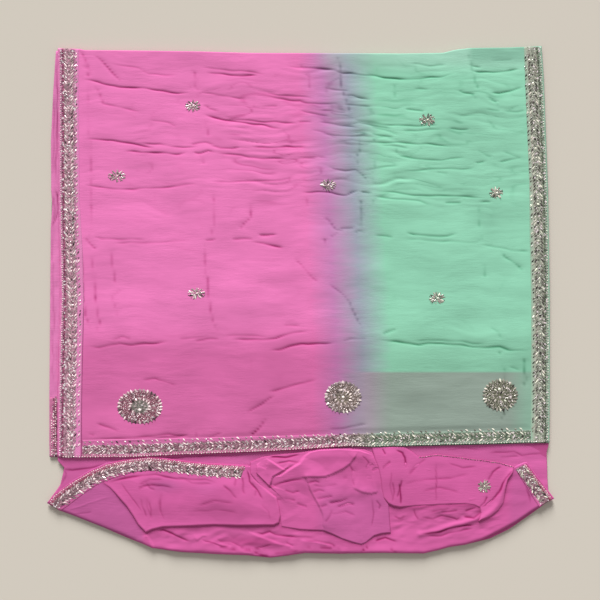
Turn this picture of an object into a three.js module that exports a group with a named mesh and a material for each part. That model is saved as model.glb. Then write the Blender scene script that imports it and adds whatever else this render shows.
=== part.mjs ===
// A saree, folded and laid flat: the pallu on top with its crystal borders, medallions and small flowers,
// the hidden layers below it, and the loose lower stretch that comes out from under the pallu's end.
// Millimetres, +Z up, the origin on the floor under the middle of the whole.
//
// The layout is drawn on a grid of equal steps, counted across from the left and down from the top, as a
// pattern cutter's table is. Heights are millimetres above the floor.
import * as THREE from 'three';

// ---------- Driving dimensions, in millimetres unless they say steps ----------
const CLOTH_WIDTH = 1100;       // selvedge to selvedge
const WIDTH_STEPS = 489;        // the same width in steps of the layout grid
const STEP = CLOTH_WIDTH / WIDTH_STEPS;
const CENTRE = { across: 300.5, down: 301.58 };
const WALL = 1.5;               // the cloth's wall
const SEAM = 0.3;               // clearance between neighbouring pieces
const STACK = 8;                // top of the folded layers under the pallu
const STACK_INSET = 14;         // the folded layers' flat top stops this far inside the pallu's edge
const CRINKLE = 3.2;            // how far the pallu stands off the stack between its creases
const EDGE_DROOP = 2;           // how far its selvedges hang over the stack's edge
const PALLU_ROWS = 32;
const PALLU_COLUMNS = 13;
const NOMINAL = { top: 50, middle: 250, end: 450 };
const SELVEDGE_BAND = [0, 13, 32, 56];      // left border: edge, thread line, spine and inner edge
const RIGHT_BAND = [0, 14, 28, 50];         // right border, the same from the right
const END_BAND = [42, 22, 9, 0];            // end border, from its inner edge out
const BAND_RELIEF = [0.8, 1.7, 2.2, 0.8];   // a border's thickness along those lines, from its edge in
const BAND_SPAN = BAND_RELIEF.length - 1;
const LEAF_SWELL = 0.5;         // every other leaf of a vine stands this much higher
const UNDER_SHELF = 3.1;        // height of the layers under the selvedge that shows along the left
const TAIL_BASE = 8.5;          // outer height of the lower stretch between its rolls
const TAIL_EDGE = 6.8;          // and at its fold edge
const TUCK_STEPS = 8;           // the ground layer starts this far under the pallu's end
const BAND_STEPS = 17;          // width of the lower stretch's border
const MOTIF_THICK = 2;

// ---------- Materials ----------
const finish = (color, roughness, metalness) => (
  new THREE.MeshStandardMaterial({ color, roughness, metalness })
);
const PINK = finish(0xe57ab5, 0.55, 0);
const DEEP_PINK = finish(0xce619f, 0.55, 0);
const CRYSTAL = finish(0xa59a94, 0.3, 0.6);

// The pallu is dip-dyed from pink at the left to mint at the right, with a grey violet where the two meet.
const DYE = [
  { across: 300, shade: new THREE.Color(0xe57ab5) },
  { across: 335, shade: new THREE.Color(0xb488b4) },
  { across: 357, shade: new THREE.Color(0xa6b6bd) },
  { across: 380, shade: new THREE.Color(0x8fd1b2) },
];

// ---------- Outlines: places on the layout grid ----------
const PALLU_LEFT = [
  { down: 46, across: 57.5 }, { down: 120, across: 58 }, { down: 200, across: 58.2 },
  { down: 300, across: 60 }, { down: 350, across: 58.5 }, { down: 400, across: 57.5 },
  { down: 460, across: 57 },
];
const PALLU_RIGHT = [
  { down: 44, across: 541.5 }, { down: 80, across: 544 }, { down: 160, across: 547 },
  { down: 200, across: 548.5 }, { down: 300, across: 550 }, { down: 400, across: 550 },
  { down: 460, across: 549.5 },
];
const PALLU_TOP = [
  { across: 57, down: 47.8 }, { across: 80, down: 48.6 }, { across: 130, down: 50.2 },
  { across: 200, down: 51.2 }, { across: 250, down: 52.6 }, { across: 330, down: 53 },
  { across: 400, down: 53.2 }, { across: 443, down: 52.6 }, { across: 455, down: 49.6 },
  { across: 470, down: 47.8 }, { across: 510, down: 47.2 }, { across: 542, down: 45.7 },
];
const PALLU_END = [
  { across: 57, down: 455 }, { across: 64, down: 458.5 }, { across: 130, down: 458 },
  { across: 180, down: 455.5 }, { across: 250, down: 453 }, { across: 290, down: 451 },
  { across: 350, down: 446.8 }, { across: 372, down: 447.6 }, { across: 430, down: 446 },
  { across: 500, down: 444.4 }, { across: 550, down: 442.6 },
];
const UNDER_LEFT = [
  { down: 46, across: 55.5 }, { down: 60, across: 54.5 }, { down: 90, across: 52.5 },
  { down: 140, across: 50.2 }, { down: 200, across: 50.6 }, { down: 300, across: 49.4 },
  { down: 400, across: 48.6 }, { down: 460, across: 48.8 },
];
const TAIL_TOP = [
  { across: 47, down: 501.2 }, { across: 55, down: 491.5 }, { across: 70, down: 481.5 },
  { across: 90, down: 470.5 }, { across: 105, down: 463 }, { across: 130, down: 458.8 },
  { across: 150, down: 457.8 }, { across: 175, down: 460 }, { across: 225, down: 463 },
  { across: 247, down: 464.5 }, { across: 258, down: 461 }, { across: 275, down: 448 },
  { across: 300, down: 446.3 }, { across: 350, down: 442.8 }, { across: 390, down: 443 },
  { across: 405, down: 450 }, { across: 418, down: 456.5 }, { across: 437, down: 454.5 },
  { across: 470, down: 458.5 }, { across: 515, down: 464.5 }, { across: 527, down: 461.5 },
  { across: 540, down: 477 }, { across: 554, down: 496.6 },
];
const TAIL_BOTTOM = [
  { across: 47, down: 504.6 }, { across: 57, down: 511 }, { across: 75, down: 517.5 },
  { across: 100, down: 527 }, { across: 130, down: 540 }, { across: 152, down: 549 },
  { across: 200, down: 553.5 }, { across: 240, down: 556 }, { across: 270, down: 558.5 },
  { across: 305, down: 554 }, { across: 380, down: 553.5 }, { across: 420, down: 554.5 },
  { across: 440, down: 550 }, { across: 490, down: 540 }, { across: 510, down: 530 },
  { across: 530, down: 516 }, { across: 545, down: 505.5 }, { across: 554, down: 500.2 },
];

// Where the columns of the lower stretch stand at its two edges. The columns between two guides lie in one
// stretch of cloth, and the guides follow the folds that part them.
const TAIL_GUIDES = [
  { top: 47, bottom: 47, columns: 8, stretch: 'tail_left_flap' },
  { top: 92, bottom: 152, columns: 12, stretch: 'tail_pillow' },
  { top: 250, bottom: 284, columns: 11, stretch: 'tail_crumple' },
  { top: 381, bottom: 385, columns: 10, stretch: 'tail_right_flap' },
  { top: 521, bottom: 498, columns: 6, stretch: 'tail_right_corner' },
  { top: 554, bottom: 554, columns: 0, stretch: '' },
];
const TAIL_ROWS = [0, 0.14, 0.28, 0.42, 0.56, 0.7, 0.82, 0.92, 1];

// The ground edge of the lower stretch bows in beside its two tips.
const GROUND_ROWS = [
  { part: 0.25, leftBow: 3, rightBow: -3 },
  { part: 0.6, leftBow: 9, rightBow: -4 },
];

// ---------- Folds: lines on the layout grid ----------
// Creases of the pallu: how deep the crease cuts into the crinkle, from 0 to 1, and its half width in steps.
const PALLU_FOLDS = [
  { line: [[82, 79], [103, 84], [145, 88], [193, 92]], depth: 0.9, reach: 6 },
  { line: [[201, 93], [248, 99], [300, 101], [343, 104]], depth: 0.7, reach: 6 },
  { line: [[93, 54], [112, 72], [123, 84]], depth: 0.6, reach: 5 },
  { line: [[203, 114], [225, 120], [270, 126], [300, 124]], depth: 1, reach: 8 },
  { line: [[280, 65], [320, 68], [362, 75], [420, 79], [460, 73], [520, 69]], depth: 0.9, reach: 7 },
  { line: [[318, 121], [357, 126], [395, 129], [470, 129]], depth: 0.8, reach: 6 },
  { line: [[320, 142], [352, 140], [400, 143], [462, 147]], depth: 0.6, reach: 5 },
  { line: [[82, 140], [112, 140], [158, 149], [206, 143]], depth: 0.8, reach: 6 },
  { line: [[124, 152], [178, 154], [230, 154], [290, 158]], depth: 0.8, reach: 6 },
  { line: [[210, 145], [240, 148], [285, 147], [310, 148]], depth: 0.8, reach: 5 },
  { line: [[395, 156], [440, 160], [467, 157], [522, 158]], depth: 0.7, reach: 6 },
  { line: [[328, 163], [345, 171], [420, 170], [480, 168]], depth: 0.6, reach: 5 },
  { line: [[83, 184], [135, 189], [202, 185], [296, 178]], depth: 0.6, reach: 6 },
  { line: [[302, 192], [345, 195], [372, 194], [415, 197], [490, 200]], depth: 0.9, reach: 7 },
  { line: [[93, 237], [130, 242], [195, 240], [255, 238], [277, 234]], depth: 0.8, reach: 6 },
  { line: [[325, 232], [365, 233], [405, 234], [457, 234]], depth: 0.8, reach: 6 },
  { line: [[480, 245], [500, 248], [512, 262], [523, 271]], depth: 0.7, reach: 6 },
  { line: [[94, 252], [94, 280], [98, 338]], depth: 0.7, reach: 7 },
  { line: [[205, 241], [209, 300], [221, 336]], depth: 0.6, reach: 8 },
  { line: [[88, 347], [130, 344], [190, 340], [255, 338], [315, 330]], depth: 0.9, reach: 7 },
  { line: [[268, 350], [302, 344], [360, 338], [418, 343], [500, 348], [533, 350]], depth: 1, reach: 8 },
  { line: [[295, 258], [328, 282], [350, 302], [363, 330]], depth: 0.8, reach: 7 },
  { line: [[87, 441], [135, 438], [196, 437]], depth: 0.7, reach: 5 },
  { line: [[246, 413], [275, 394], [318, 380]], depth: 0.7, reach: 6 },
];

// Rolls and puffs of the lower stretch stand up and its folds cut in: rise in millimetres, half width in steps.
const TAIL_FORMS = [
  { line: [[150, 500], [200, 498], [255, 499]], rise: 12, reach: 20 },
  { line: [[160, 541], [230, 546], [300, 546], [420, 545], [470, 537]], rise: 5.5, reach: 9 },
  { line: [[147, 531], [200, 526], [275, 525], [281, 517]], rise: -8, reach: 6 },
  { line: [[279, 505], [268, 490], [255, 477]], rise: -8, reach: 6 },
  { line: [[104, 483], [125, 505], [145, 534]], rise: -3.5, reach: 7 },
  { line: [[303, 462], [345, 456], [372, 458]], rise: 12, reach: 13 },
  { line: [[295, 500], [310, 505]], rise: 7, reach: 15 },
  { line: [[335, 495], [365, 500]], rise: 9.5, reach: 14 },
  { line: [[268, 470], [270, 474]], rise: 8, reach: 10 },
  { line: [[272, 482], [290, 484], [307, 480]], rise: -7, reach: 6 },
  { line: [[308, 478], [312, 498], [325, 520]], rise: -4, reach: 6 },
  { line: [[253, 532], [300, 538], [350, 545], [372, 540], [395, 537]], rise: -5.5, reach: 6 },
  { line: [[415, 480], [475, 482]], rise: 8, reach: 22 },
  { line: [[387, 506], [420, 508], [487, 507]], rise: -7, reach: 6 },
  { line: [[485, 512], [500, 495], [516, 472]], rise: 7, reach: 9 },
  { line: [[430, 522], [470, 515]], rise: 4, reach: 8 },
  { line: [[420, 534], [478, 525]], rise: -3.5, reach: 6 },
];

// ---------- Motifs sewn on: places and sizes on the layout grid ----------
const MEDALLIONS = [
  { name: 'medallion_left', across: 140, down: 406, wide: 47, high: 36 },
  { name: 'medallion_middle', across: 343, down: 397, wide: 38, high: 33 },
  { name: 'medallion_right', across: 500, down: 395, wide: 36, high: 33 },
];
const BUTIS = [
  { name: 'buti_1', across: 193, down: 106, wide: 17, high: 12 },
  { name: 'buti_2', across: 427, down: 120, wide: 18, high: 13 },
  { name: 'buti_3', across: 117, down: 176, wide: 20, high: 13 },
  { name: 'buti_4', across: 328, down: 185, wide: 18, high: 12 },
  { name: 'buti_5', across: 496, down: 193, wide: 15, high: 13 },
  { name: 'buti_6', across: 196, down: 293, wide: 20, high: 12 },
  { name: 'buti_7', across: 437, down: 298, wide: 18, high: 13 },
];
const TAIL_BUTI = { name: 'buti_8', across: 484, down: 486, wide: 14, high: 14 };
const MEDALLION_PETALS = 26;
const BUTI_PETALS = 10;

// ---------- Small helpers ----------
const mix = (from, to, part) => from + (to - from) * part;
const mixPoint = (from, to, part) => from.map((value, axis) => mix(value, to[axis], part));
const bell = (ratio) => Math.exp(-ratio * ratio);
const clamp01 = (value) => Math.min(1, Math.max(0, value));
const placeX = (across) => (across - CENTRE.across) * STEP;
const placeY = (down) => (CENTRE.down - down) * STEP;

// The value of one column of a table at a place in another column, straight between its rows.
function read(table, key, value, at) {
  let row = 1;
  while (row < table.length - 1 && at > table[row][key]) {
    row += 1;
  }
  const low = table[row - 1];
  const high = table[row];
  return mix(low[value], high[value], clamp01((at - low[key]) / (high[key] - low[key])));
}

// The distance from a place to a line, in steps.
function awayFrom(line, across, down) {
  let nearest = Infinity;
  for (let leg = 1; leg < line.length; leg += 1) {
    const [startAcross, startDown] = line[leg - 1];
    const runAcross = line[leg][0] - startAcross;
    const runDown = line[leg][1] - startDown;
    const part = ((across - startAcross) * runAcross + (down - startDown) * runDown)
      / (runAcross * runAcross + runDown * runDown);
    const at = clamp01(part);
    nearest = Math.min(nearest, Math.hypot(across - startAcross - runAcross * at, down - startDown - runDown * at));
  }
  return nearest;
}

// A point of a surface: its place on the grid, its height, and the direction that its outer face looks in.
const point = (across, down, height, lean = 0) => ({
  across,
  down,
  spot: [placeX(across), placeY(down), height],
  facing: [0, Math.sin(lean), Math.cos(lean)],
});
const raised = (at, distance) => at.spot.map((value, axis) => value + at.facing[axis] * distance);

// ---------- Closed solids ----------
// Every solid is a list of points and a list of triangles, seen anticlockwise from outside.
function solid(name, points, faces, material) {
  const geometry = new THREE.BufferGeometry();
  geometry.setAttribute('position', new THREE.Float32BufferAttribute(points.flat(), 3));
  geometry.setIndex(faces.flat());
  geometry.computeVertexNormals();
  const mesh = new THREE.Mesh(geometry, material.clone());
  mesh.name = name;
  return mesh;
}

// The two triangles of one cell of a grid whose rows run down the layout and columns across it.
const cellFaces = (a, b, c, d) => [[a, d, c], [a, c, b]];

// The places round the edge of a grid, down its left side, along its last row, up and back.
function rimOf(lastRow, lastColumn) {
  const rows = Array.from({ length: lastRow }, (_, step) => step);
  const columns = Array.from({ length: lastColumn }, (_, step) => step);
  return [
    ...rows.map((step) => [step, 0]),
    ...columns.map((step) => [lastRow, step]),
    ...rows.map((step) => [lastRow - step, lastColumn]),
    ...columns.map((step) => [0, lastColumn - step]),
  ];
}

// A closed wall between an outer and an inner grid of points of the same size.
function wall(name, outer, inner, material) {
  const rows = outer.length;
  const columns = outer[0].length;
  const points = [...outer.flat(), ...inner.flat()];
  const out = (row, column) => row * columns + column;
  const within = (row, column) => rows * columns + out(row, column);
  const faces = [];
  for (let row = 1; row < rows; row += 1) {
    for (let column = 1; column < columns; column += 1) {
      const corners = [[row - 1, column - 1], [row - 1, column], [row, column], [row, column - 1]];
      faces.push(...cellFaces(...corners.map(([r, c]) => out(r, c))));
      faces.push(...cellFaces(...corners.map(([r, c]) => within(r, c))).map((face) => face.reverse()));
    }
  }
  const rim = rimOf(rows - 1, columns - 1);
  rim.forEach(([row, column], index) => {
    const [nextRow, nextColumn] = rim[(index + 1) % rim.length];
    faces.push([out(row, column), within(row, column), out(nextRow, nextColumn)]);
    faces.push([within(row, column), within(nextRow, nextColumn), out(nextRow, nextColumn)]);
  });
  return solid(name, points, faces, material);
}

// A wall laid over a patch of surface points, lifted clear of them by a gap.
function layered(name, patch, gap, thickness, material) {
  const outer = patch.map((row, r) => row.map((at, c) => raised(at, gap + thickness(r, c))));
  const inner = patch.map((row) => row.map((at) => raised(at, gap)));
  return wall(name, outer, inner, material);
}

// A patch of a surface between two rows and two columns.
function patchOf(surface, rows, columns) {
  return surface.slice(rows[0], rows[1] + 1).map((row) => row.slice(columns[0], columns[1] + 1));
}

// Moves one point of a surface along the straight line to its neighbour by a distance.
function towards(at, neighbour, distance) {
  const length = Math.hypot(...at.spot.map((value, axis) => neighbour.spot[axis] - value));
  const part = distance / length;
  return {
    across: mix(at.across, neighbour.across, part),
    down: mix(at.down, neighbour.down, part),
    spot: mixPoint(at.spot, neighbour.spot, part),
    facing: at.facing,
  };
}

// Draws the named sides of a patch in by half a seam, so that neighbouring pieces stand a seam apart.
function drawnIn(patch, sides) {
  const last = patch[0].length - 1;
  const end = patch.length - 1;
  const rows = patch.map((row) => [...row]);
  for (const row of rows) {
    const [first, final] = [towards(row[0], row[1], SEAM / 2), towards(row[last], row[last - 1], SEAM / 2)];
    row[0] = sides.left ? first : row[0];
    row[last] = sides.right ? final : row[last];
  }
  if (sides.bottom) {
    rows[end] = rows[end].map((at, column) => towards(at, rows[end - 1][column], SEAM / 2));
  }
  return rows;
}

// ---------- Pallu: the crinkled top stretch ----------
const palluEndAt = (across) => read(PALLU_END, 'across', 'down', across);
const palluTopAt = (across) => read(PALLU_TOP, 'across', 'down', across);
const palluLeftAt = (down) => read(PALLU_LEFT, 'down', 'across', down);
const palluRightAt = (down) => read(PALLU_RIGHT, 'down', 'across', down);

// How high the crinkled cloth stands off the stack: full between creases, nothing in the deepest.
function crinkleAt(across, down) {
  let open = 1;
  for (const fold of PALLU_FOLDS) {
    open = Math.min(open, 1 - fold.depth * bell(awayFrom(fold.line, across, down) / fold.reach));
  }
  return CRINKLE * open;
}

// The evenly spaced rows of one column, with the nearest row drawn to each crease that crosses the column.
function rowPlaces(across, first, last) {
  const pitch = (last - first) / (PALLU_ROWS - 1);
  const places = Array.from({ length: PALLU_ROWS }, (_, row) => first + pitch * row);
  const taken = new Set([0, PALLU_ROWS - 1]);
  const deepest = [...PALLU_FOLDS].sort((one, other) => other.depth - one.depth);
  for (const fold of deepest) {
    const [start, end] = [fold.line[0], fold.line[fold.line.length - 1]];
    const level = Math.abs(end[0] - start[0]) > 2 * Math.abs(end[1] - start[1]);
    const crosses = level && across >= start[0] && across <= end[0];
    const crease = read(fold.line.map(([a, d]) => ({ a, d })), 'a', 'd', across);
    const nearest = Math.round((crease - first) / pitch);
    if (crosses && nearest > 0 && nearest < PALLU_ROWS - 1 && !taken.has(nearest)) {
      taken.add(nearest);
      places[nearest] = crease;
    }
  }
  return places;
}

// The stitched borders hold the crinkle down, and so do the fold and the end.
const BORDER_CALM = 0.3;
const EDGE_CALM = 0.5;

// The inner face of the pallu, row by row from its top fold to its end. The first three rows turn over the fold.
const FOLD_OVER = [
  { inset: 1.6, height: 2.2, lean: 1.37 },
  { inset: 3.2, height: 5.4, lean: 0.93 },
  { inset: 9.5, height: STACK + 0.25, lean: 0.3 },
];
const FOLD_OVER_INSET = 24;
const HANGING_ROWS = PALLU_ROWS - 2;

function palluSurface() {
  const middle = (columnPart, down) => {
    const left = palluLeftAt(down) + SELVEDGE_BAND[BAND_SPAN] / STEP;
    const right = palluRightAt(down) - RIGHT_BAND[BAND_SPAN] / STEP;
    return mix(left, right, columnPart);
  };
  const columnAt = [
    ...SELVEDGE_BAND.map((inset) => (down) => palluLeftAt(down) + inset / STEP),
    ...Array.from({ length: PALLU_COLUMNS - 1 }, (_, c) => (down) => middle((c + 1) / PALLU_COLUMNS, down)),
    ...[...RIGHT_BAND].reverse().map((inset) => (down) => palluRightAt(down) - inset / STEP),
  ];
  const lastColumn = columnAt.length - 1;
  const columns = columnAt.map((acrossAt, column) => {
    const top = palluTopAt(acrossAt(NOMINAL.top));
    const end = palluEndAt(acrossAt(NOMINAL.end));
    const droop = column === 0 || column === lastColumn ? EDGE_DROOP : 0;
    const bordered = column < SELVEDGE_BAND.length || column > lastColumn - RIGHT_BAND.length;
    const loose = bordered ? BORDER_CALM : 1;
    const over = FOLD_OVER.map(({ inset, height, lean }) => {
      const down = top + inset / STEP;
      return point(acrossAt(down), down, height - (height > STACK ? droop : 0), lean);
    });
    const first = top + FOLD_OVER_INSET / STEP;
    const last = end - END_BAND[0] / STEP;
    const field = rowPlaces(acrossAt(NOMINAL.middle), first, last).map((down, row) => {
      const edge = row === 0 || row === PALLU_ROWS - 1;
      const lift = crinkleAt(acrossAt(down), down) * loose * (edge ? EDGE_CALM : 1);
      const hanging = row < HANGING_ROWS ? droop : 0;
      return point(acrossAt(down), down, STACK + SEAM + lift - hanging);
    });
    const hem = END_BAND.slice(1).map((inset) => {
      const down = end - inset / STEP;
      return point(acrossAt(down), down, STACK + SEAM);
    });
    return [...over, ...field, ...hem];
  });
  return columns[0].map((_, row) => columns.map((column) => column[row]));
}

const palluInner = palluSurface();
const palluOuter = palluInner.map((row) => row.map((at) => ({ ...at, spot: raised(at, WALL) })));
const palluRowCount = palluOuter.length;
const palluColumnCount = palluOuter[0].length;

const pallu = wall(
  'pallu',
  palluOuter.map((row) => row.map((at) => at.spot)),
  palluInner.map((row) => row.map((at) => at.spot)),
  PINK,
);

// The dye at a place across the cloth, as a colour.
function dyeAt(across) {
  let row = 1;
  while (row < DYE.length - 1 && across > DYE[row].across) {
    row += 1;
  }
  const from = DYE[row - 1];
  const to = DYE[row];
  return from.shade.clone().lerp(to.shade, clamp01((across - from.across) / (to.across - from.across)));
}
const dyed = [...palluOuter.flat(), ...palluInner.flat()].map(({ across }) => dyeAt(across).toArray());
pallu.geometry.setAttribute('color', new THREE.Float32BufferAttribute(dyed.flat(), 3));
pallu.material.color.set(0xffffff);
pallu.material.vertexColors = true;

// ---------- Borders sewn on the pallu ----------
// A band is plain below and raised above: a beaded edge, a row of leaves along the spine, and a thin inner edge.
// The leaves of the vine swell on every other row.
const SPINE = 2;
const leafSwell = (row, strip) => (strip === SPINE && row % 2 === 0 ? LEAF_SWELL : 0);
const sideRows = [0, palluRowCount - 1];
const endRows = [palluRowCount - END_BAND.length, palluRowCount - 1];
const rightColumn = palluColumnCount - 1;

const borderLeft = layered(
  'border_left',
  drawnIn(patchOf(palluOuter, sideRows, [0, BAND_SPAN]), { left: true, right: true }),
  SEAM,
  (row, column) => BAND_RELIEF[column] + leafSwell(row, column),
  CRYSTAL,
);
const borderRight = layered(
  'border_right',
  drawnIn(patchOf(palluOuter, sideRows, [rightColumn - BAND_SPAN, rightColumn]), { left: true, right: true }),
  SEAM,
  (row, column) => BAND_RELIEF[BAND_SPAN - column] + leafSwell(row, BAND_SPAN - column),
  CRYSTAL,
);
const borderEnd = layered(
  'border_end',
  drawnIn(patchOf(palluOuter, endRows, [BAND_SPAN, rightColumn - BAND_SPAN]), { left: true, right: true, bottom: true }),
  SEAM,
  (row, column) => BAND_RELIEF[BAND_SPAN - row] + leafSwell(column, BAND_SPAN - row),
  CRYSTAL,
);

// ---------- Lower stretch: the loose cloth that comes out from under the pallu's end ----------
const tailTopAt = (across) => read(TAIL_TOP, 'across', 'down', across);
const tailBottomAt = (across) => read(TAIL_BOTTOM, 'across', 'down', across);

// Outer height of the lower stretch, part of the way from its upper edge to its fold edge. Its rolls and folds
// die away at both, and it stays below the pallu where the pallu's end lies on it.
const LIFT_PART = 0.2;
const DEEPEST_FOLD = -0.5;
const EDGE_POWER = 14;
const COVER_STEPS = 5;
function tailHeight(across, down, part) {
  let rise = 0;
  for (const form of TAIL_FORMS) {
    rise += form.rise * bell(awayFrom(form.line, across, down) / form.reach);
  }
  const loose = TAIL_BASE + Math.max(DEEPEST_FOLD, rise) * clamp01(part / LIFT_PART);
  const height = mix(loose, TAIL_EDGE, part ** EDGE_POWER);
  const covered = down < read(palluOuter[palluRowCount - 1], 'across', 'down', across) + COVER_STEPS;
  return covered ? Math.min(height, STACK) : height;
}

function tailColumns() {
  const columns = [];
  TAIL_GUIDES.forEach((guide, index) => {
    const next = TAIL_GUIDES[index + 1];
    const steps = Math.max(guide.columns, 1);
    for (let step = 0; step < steps; step += 1) {
      const part = step / steps;
      const top = next ? mix(guide.top, next.top, part) : guide.top;
      const bottom = next ? mix(guide.bottom, next.bottom, part) : guide.bottom;
      columns.push({ top, bottom });
    }
  });
  return columns;
}

// The beaded line lies this part of the way across the border, and at the tips the border takes half the cloth.
const BEAD_PART = 0.35;
const TIP_BAND_PART = 0.5;

// The lower stretch's outer face: its upper edge, the two rows of the border, then on to its fold edge.
const tailAcross = tailColumns();
const tailFractions = tailAcross.map(({ top, bottom }) => {
  const length = Math.hypot(bottom - top, tailBottomAt(bottom) - tailTopAt(top));
  const band = Math.min(BAND_STEPS / length, TIP_BAND_PART);
  return [0, band * BEAD_PART, ...TAIL_ROWS.map((part) => mix(band, 1, part))];
});
const tailOuter = tailFractions[0].map((_, row) => tailAcross.map(({ top, bottom }, column) => {
  const part = tailFractions[column][row];
  const across = mix(top, bottom, part);
  const down = mix(tailTopAt(top), tailBottomAt(bottom), part);
  return point(across, down, tailHeight(across, down, part));
}));
const tailInner = tailOuter.map((row) => row.map((at) => ({ ...at, spot: raised(at, -WALL) })));
const tailLastRow = tailOuter.length - 1;
const guideColumn = [];
TAIL_GUIDES.reduce((column, guide) => {
  guideColumn.push(column);
  return column + guide.columns;
}, 0);

const tailStretches = TAIL_GUIDES.slice(0, -1).map(({ stretch }, index) => {
  const columns = [guideColumn[index], guideColumn[index + 1]];
  const sides = { left: index > 0, right: index < TAIL_GUIDES.length - 2 };
  const patch = drawnIn(patchOf(tailInner, [0, tailLastRow], columns), sides);
  return layered(stretch, patch, 0, () => WALL, DEEP_PINK);
});

// ---------- Ground layer beside the two tips ----------
// It runs from under the pallu's end to the loose cloth's upper edge, and its outer edge bows in.
const GROUND_HEIGHT = STACK - 0.5;
const firstTip = TAIL_GUIDES[0].top;
const lastTip = TAIL_GUIDES[TAIL_GUIDES.length - 1].top;
const columnShare = tailAcross.map(({ top }) => (top - firstTip) / (lastTip - firstTip));
const groundStart = columnShare.map((share) => {
  const across = mix(palluLeftAt(NOMINAL.end), palluRightAt(NOMINAL.end), share);
  return point(across, palluEndAt(across) - TUCK_STEPS, GROUND_HEIGHT);
});
const BOW_POWER = 6;
const groundRow = ({ part, leftBow, rightBow }) => columnShare.map((share, column) => {
  const from = groundStart[column];
  const to = tailOuter[0][column];
  const bow = leftBow * (1 - share) ** BOW_POWER + rightBow * share ** BOW_POWER;
  const across = mix(from.across, to.across, part) + bow;
  return point(across, mix(from.down, to.down, part), mix(from.spot[2], to.spot[2], part));
});
const groundOuter = [groundStart, ...GROUND_ROWS.map(groundRow), tailOuter[0]];
const groundInner = groundOuter.map((row) => row.map((at) => ({ ...at, spot: raised(at, -WALL) })));
const groundLast = groundOuter.length - 1;

const columnOf = (across) => tailAcross.findIndex(({ top }) => top >= across);
const ground = (name, columns) => {
  const patch = drawnIn(patchOf(groundInner, [0, groundLast], columns), { bottom: true });
  return layered(name, patch, 0, () => WALL, DEEP_PINK);
};
const lastTailColumn = tailAcross.length - 1;
const GROUND_LEFT_END = 258;
const GROUND_RIGHT_START = 398;
const groundLeft = ground('tail_ground_left', [0, columnOf(GROUND_LEFT_END)]);
const groundRight = ground('tail_ground_right', [columnOf(GROUND_RIGHT_START), lastTailColumn]);

// ---------- Borders and trim of the lower stretch ----------
const TAIL_BAND_RELIEF = [0.8, 1.7, 1];
const TAIL_BAND_ROWS = [0, 2];
const LEFT_BORDER_END = 246;
const RIGHT_BORDER_START = 526;
const TRIM_ENDS = [417, 514];
const tailBand = (name, columns) => layered(
  name,
  drawnIn(patchOf(tailOuter, TAIL_BAND_ROWS, columns), { left: true, right: true }),
  SEAM,
  (row, column) => TAIL_BAND_RELIEF[row] + (row === 1 && column % 2 === 0 ? LEAF_SWELL : 0),
  CRYSTAL,
);
const borderTailLeft = tailBand('border_tail_left', [1, columnOf(LEFT_BORDER_END)]);
const borderTailRight = tailBand('border_tail_right', [columnOf(RIGHT_BORDER_START), lastTailColumn - 1]);

const TRIM_WIDTH = 4;
const TRIM_THICK = 0.8;
const trimEdge = patchOf(tailOuter, [0, 1], TRIM_ENDS.map(columnOf));
const trimPatch = [
  trimEdge[0],
  trimEdge[0].map((at, column) => towards(at, trimEdge[1][column], TRIM_WIDTH)),
];
const trimTailRight = layered('trim_tail_right', trimPatch, SEAM * 1.5, () => TRIM_THICK, CRYSTAL);

// ---------- Under layer: the selvedge below the pallu, seen along the left ----------
const UNDER_ROWS = 24;
const UNDER_TUCK = 0.7;
const UNDER_SPAN = { top: 50, end: 457, border: 395 };
const UNDER_BAND_THICK = 0.7;
const underEdgeAt = (down) => read(UNDER_LEFT, 'down', 'across', down);
const underSurface = Array.from({ length: UNDER_ROWS }, (_, row) => {
  const down = mix(UNDER_SPAN.top, UNDER_SPAN.end, row / (UNDER_ROWS - 1));
  const outerEdge = underEdgeAt(down);
  const innerEdge = palluLeftAt(down) + UNDER_TUCK;
  return [0, 0.5, 1].map((part) => point(mix(outerEdge, innerEdge, part), down, UNDER_SHELF + SEAM));
});
const underLayer = layered('under_layer', underSurface, 0, () => WALL, PINK);
const underBandRows = [underSurface.findIndex((row) => row[0].down > UNDER_SPAN.border), UNDER_ROWS - 1];
const underBandPatch = patchOf(underSurface, underBandRows, [0, 1]);
const borderUnder = layered('border_under', underBandPatch, WALL + SEAM, () => UNDER_BAND_THICK, CRYSTAL);

// ---------- Folded layers: the hidden layers as one rounded solid, layered at its edges ----------
// Its top face runs under the pallu as a flat, then steps down under the pallu's end and follows the lower
// stretch. Rings round it draw in and out again, one lip for each folded layer, down to a flat underside.
const LIPS = [
  { out: 0.5, height: 6.6 },
  { out: 0.67, height: 5.4 },
  { out: 0.42, height: 4.3 },
  { out: 0.78, height: 3.2 },
  { out: 0.5, height: 2 },
  { out: 0.8, height: 1 },
  { out: 0.62, height: 0 },
];
const SHELF_LIPS = [
  { out: 0.45, shelf: 0, height: 6.6 },
  { out: 0.45, shelf: 0, height: 5.3 },
  { out: 0.42, shelf: 0, height: UNDER_SHELF },
  { out: 1, shelf: 0.92, height: UNDER_SHELF },
  { out: 1, shelf: 0.99, height: 2.1 },
  { out: 1, shelf: 0.85, height: 1 },
  { out: 1, shelf: 0.9, height: 0 },
];
const TAIL_LIPS = [
  { out: 0.5, height: 4.7 },
  { out: 0.75, height: 4.1 },
  { out: 0.2, height: 3.4 },
  { out: 0.8, height: 2.6 },
  { out: 0.2, height: 1.7 },
  { out: 0.75, height: 0.9 },
  { out: 0.4, height: 0 },
];
const INSET_STEPS = STACK_INSET / STEP;
const STACK_ROWS = [0, 0.35, 0.7, 1];
const STACK_END = 14;
const STACK_SPAN = [50, 440];
const EDGE_PULL = 0.4;
const EDGE_DROP = 0.5;
const LIP_DROP = 0.3;

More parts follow.
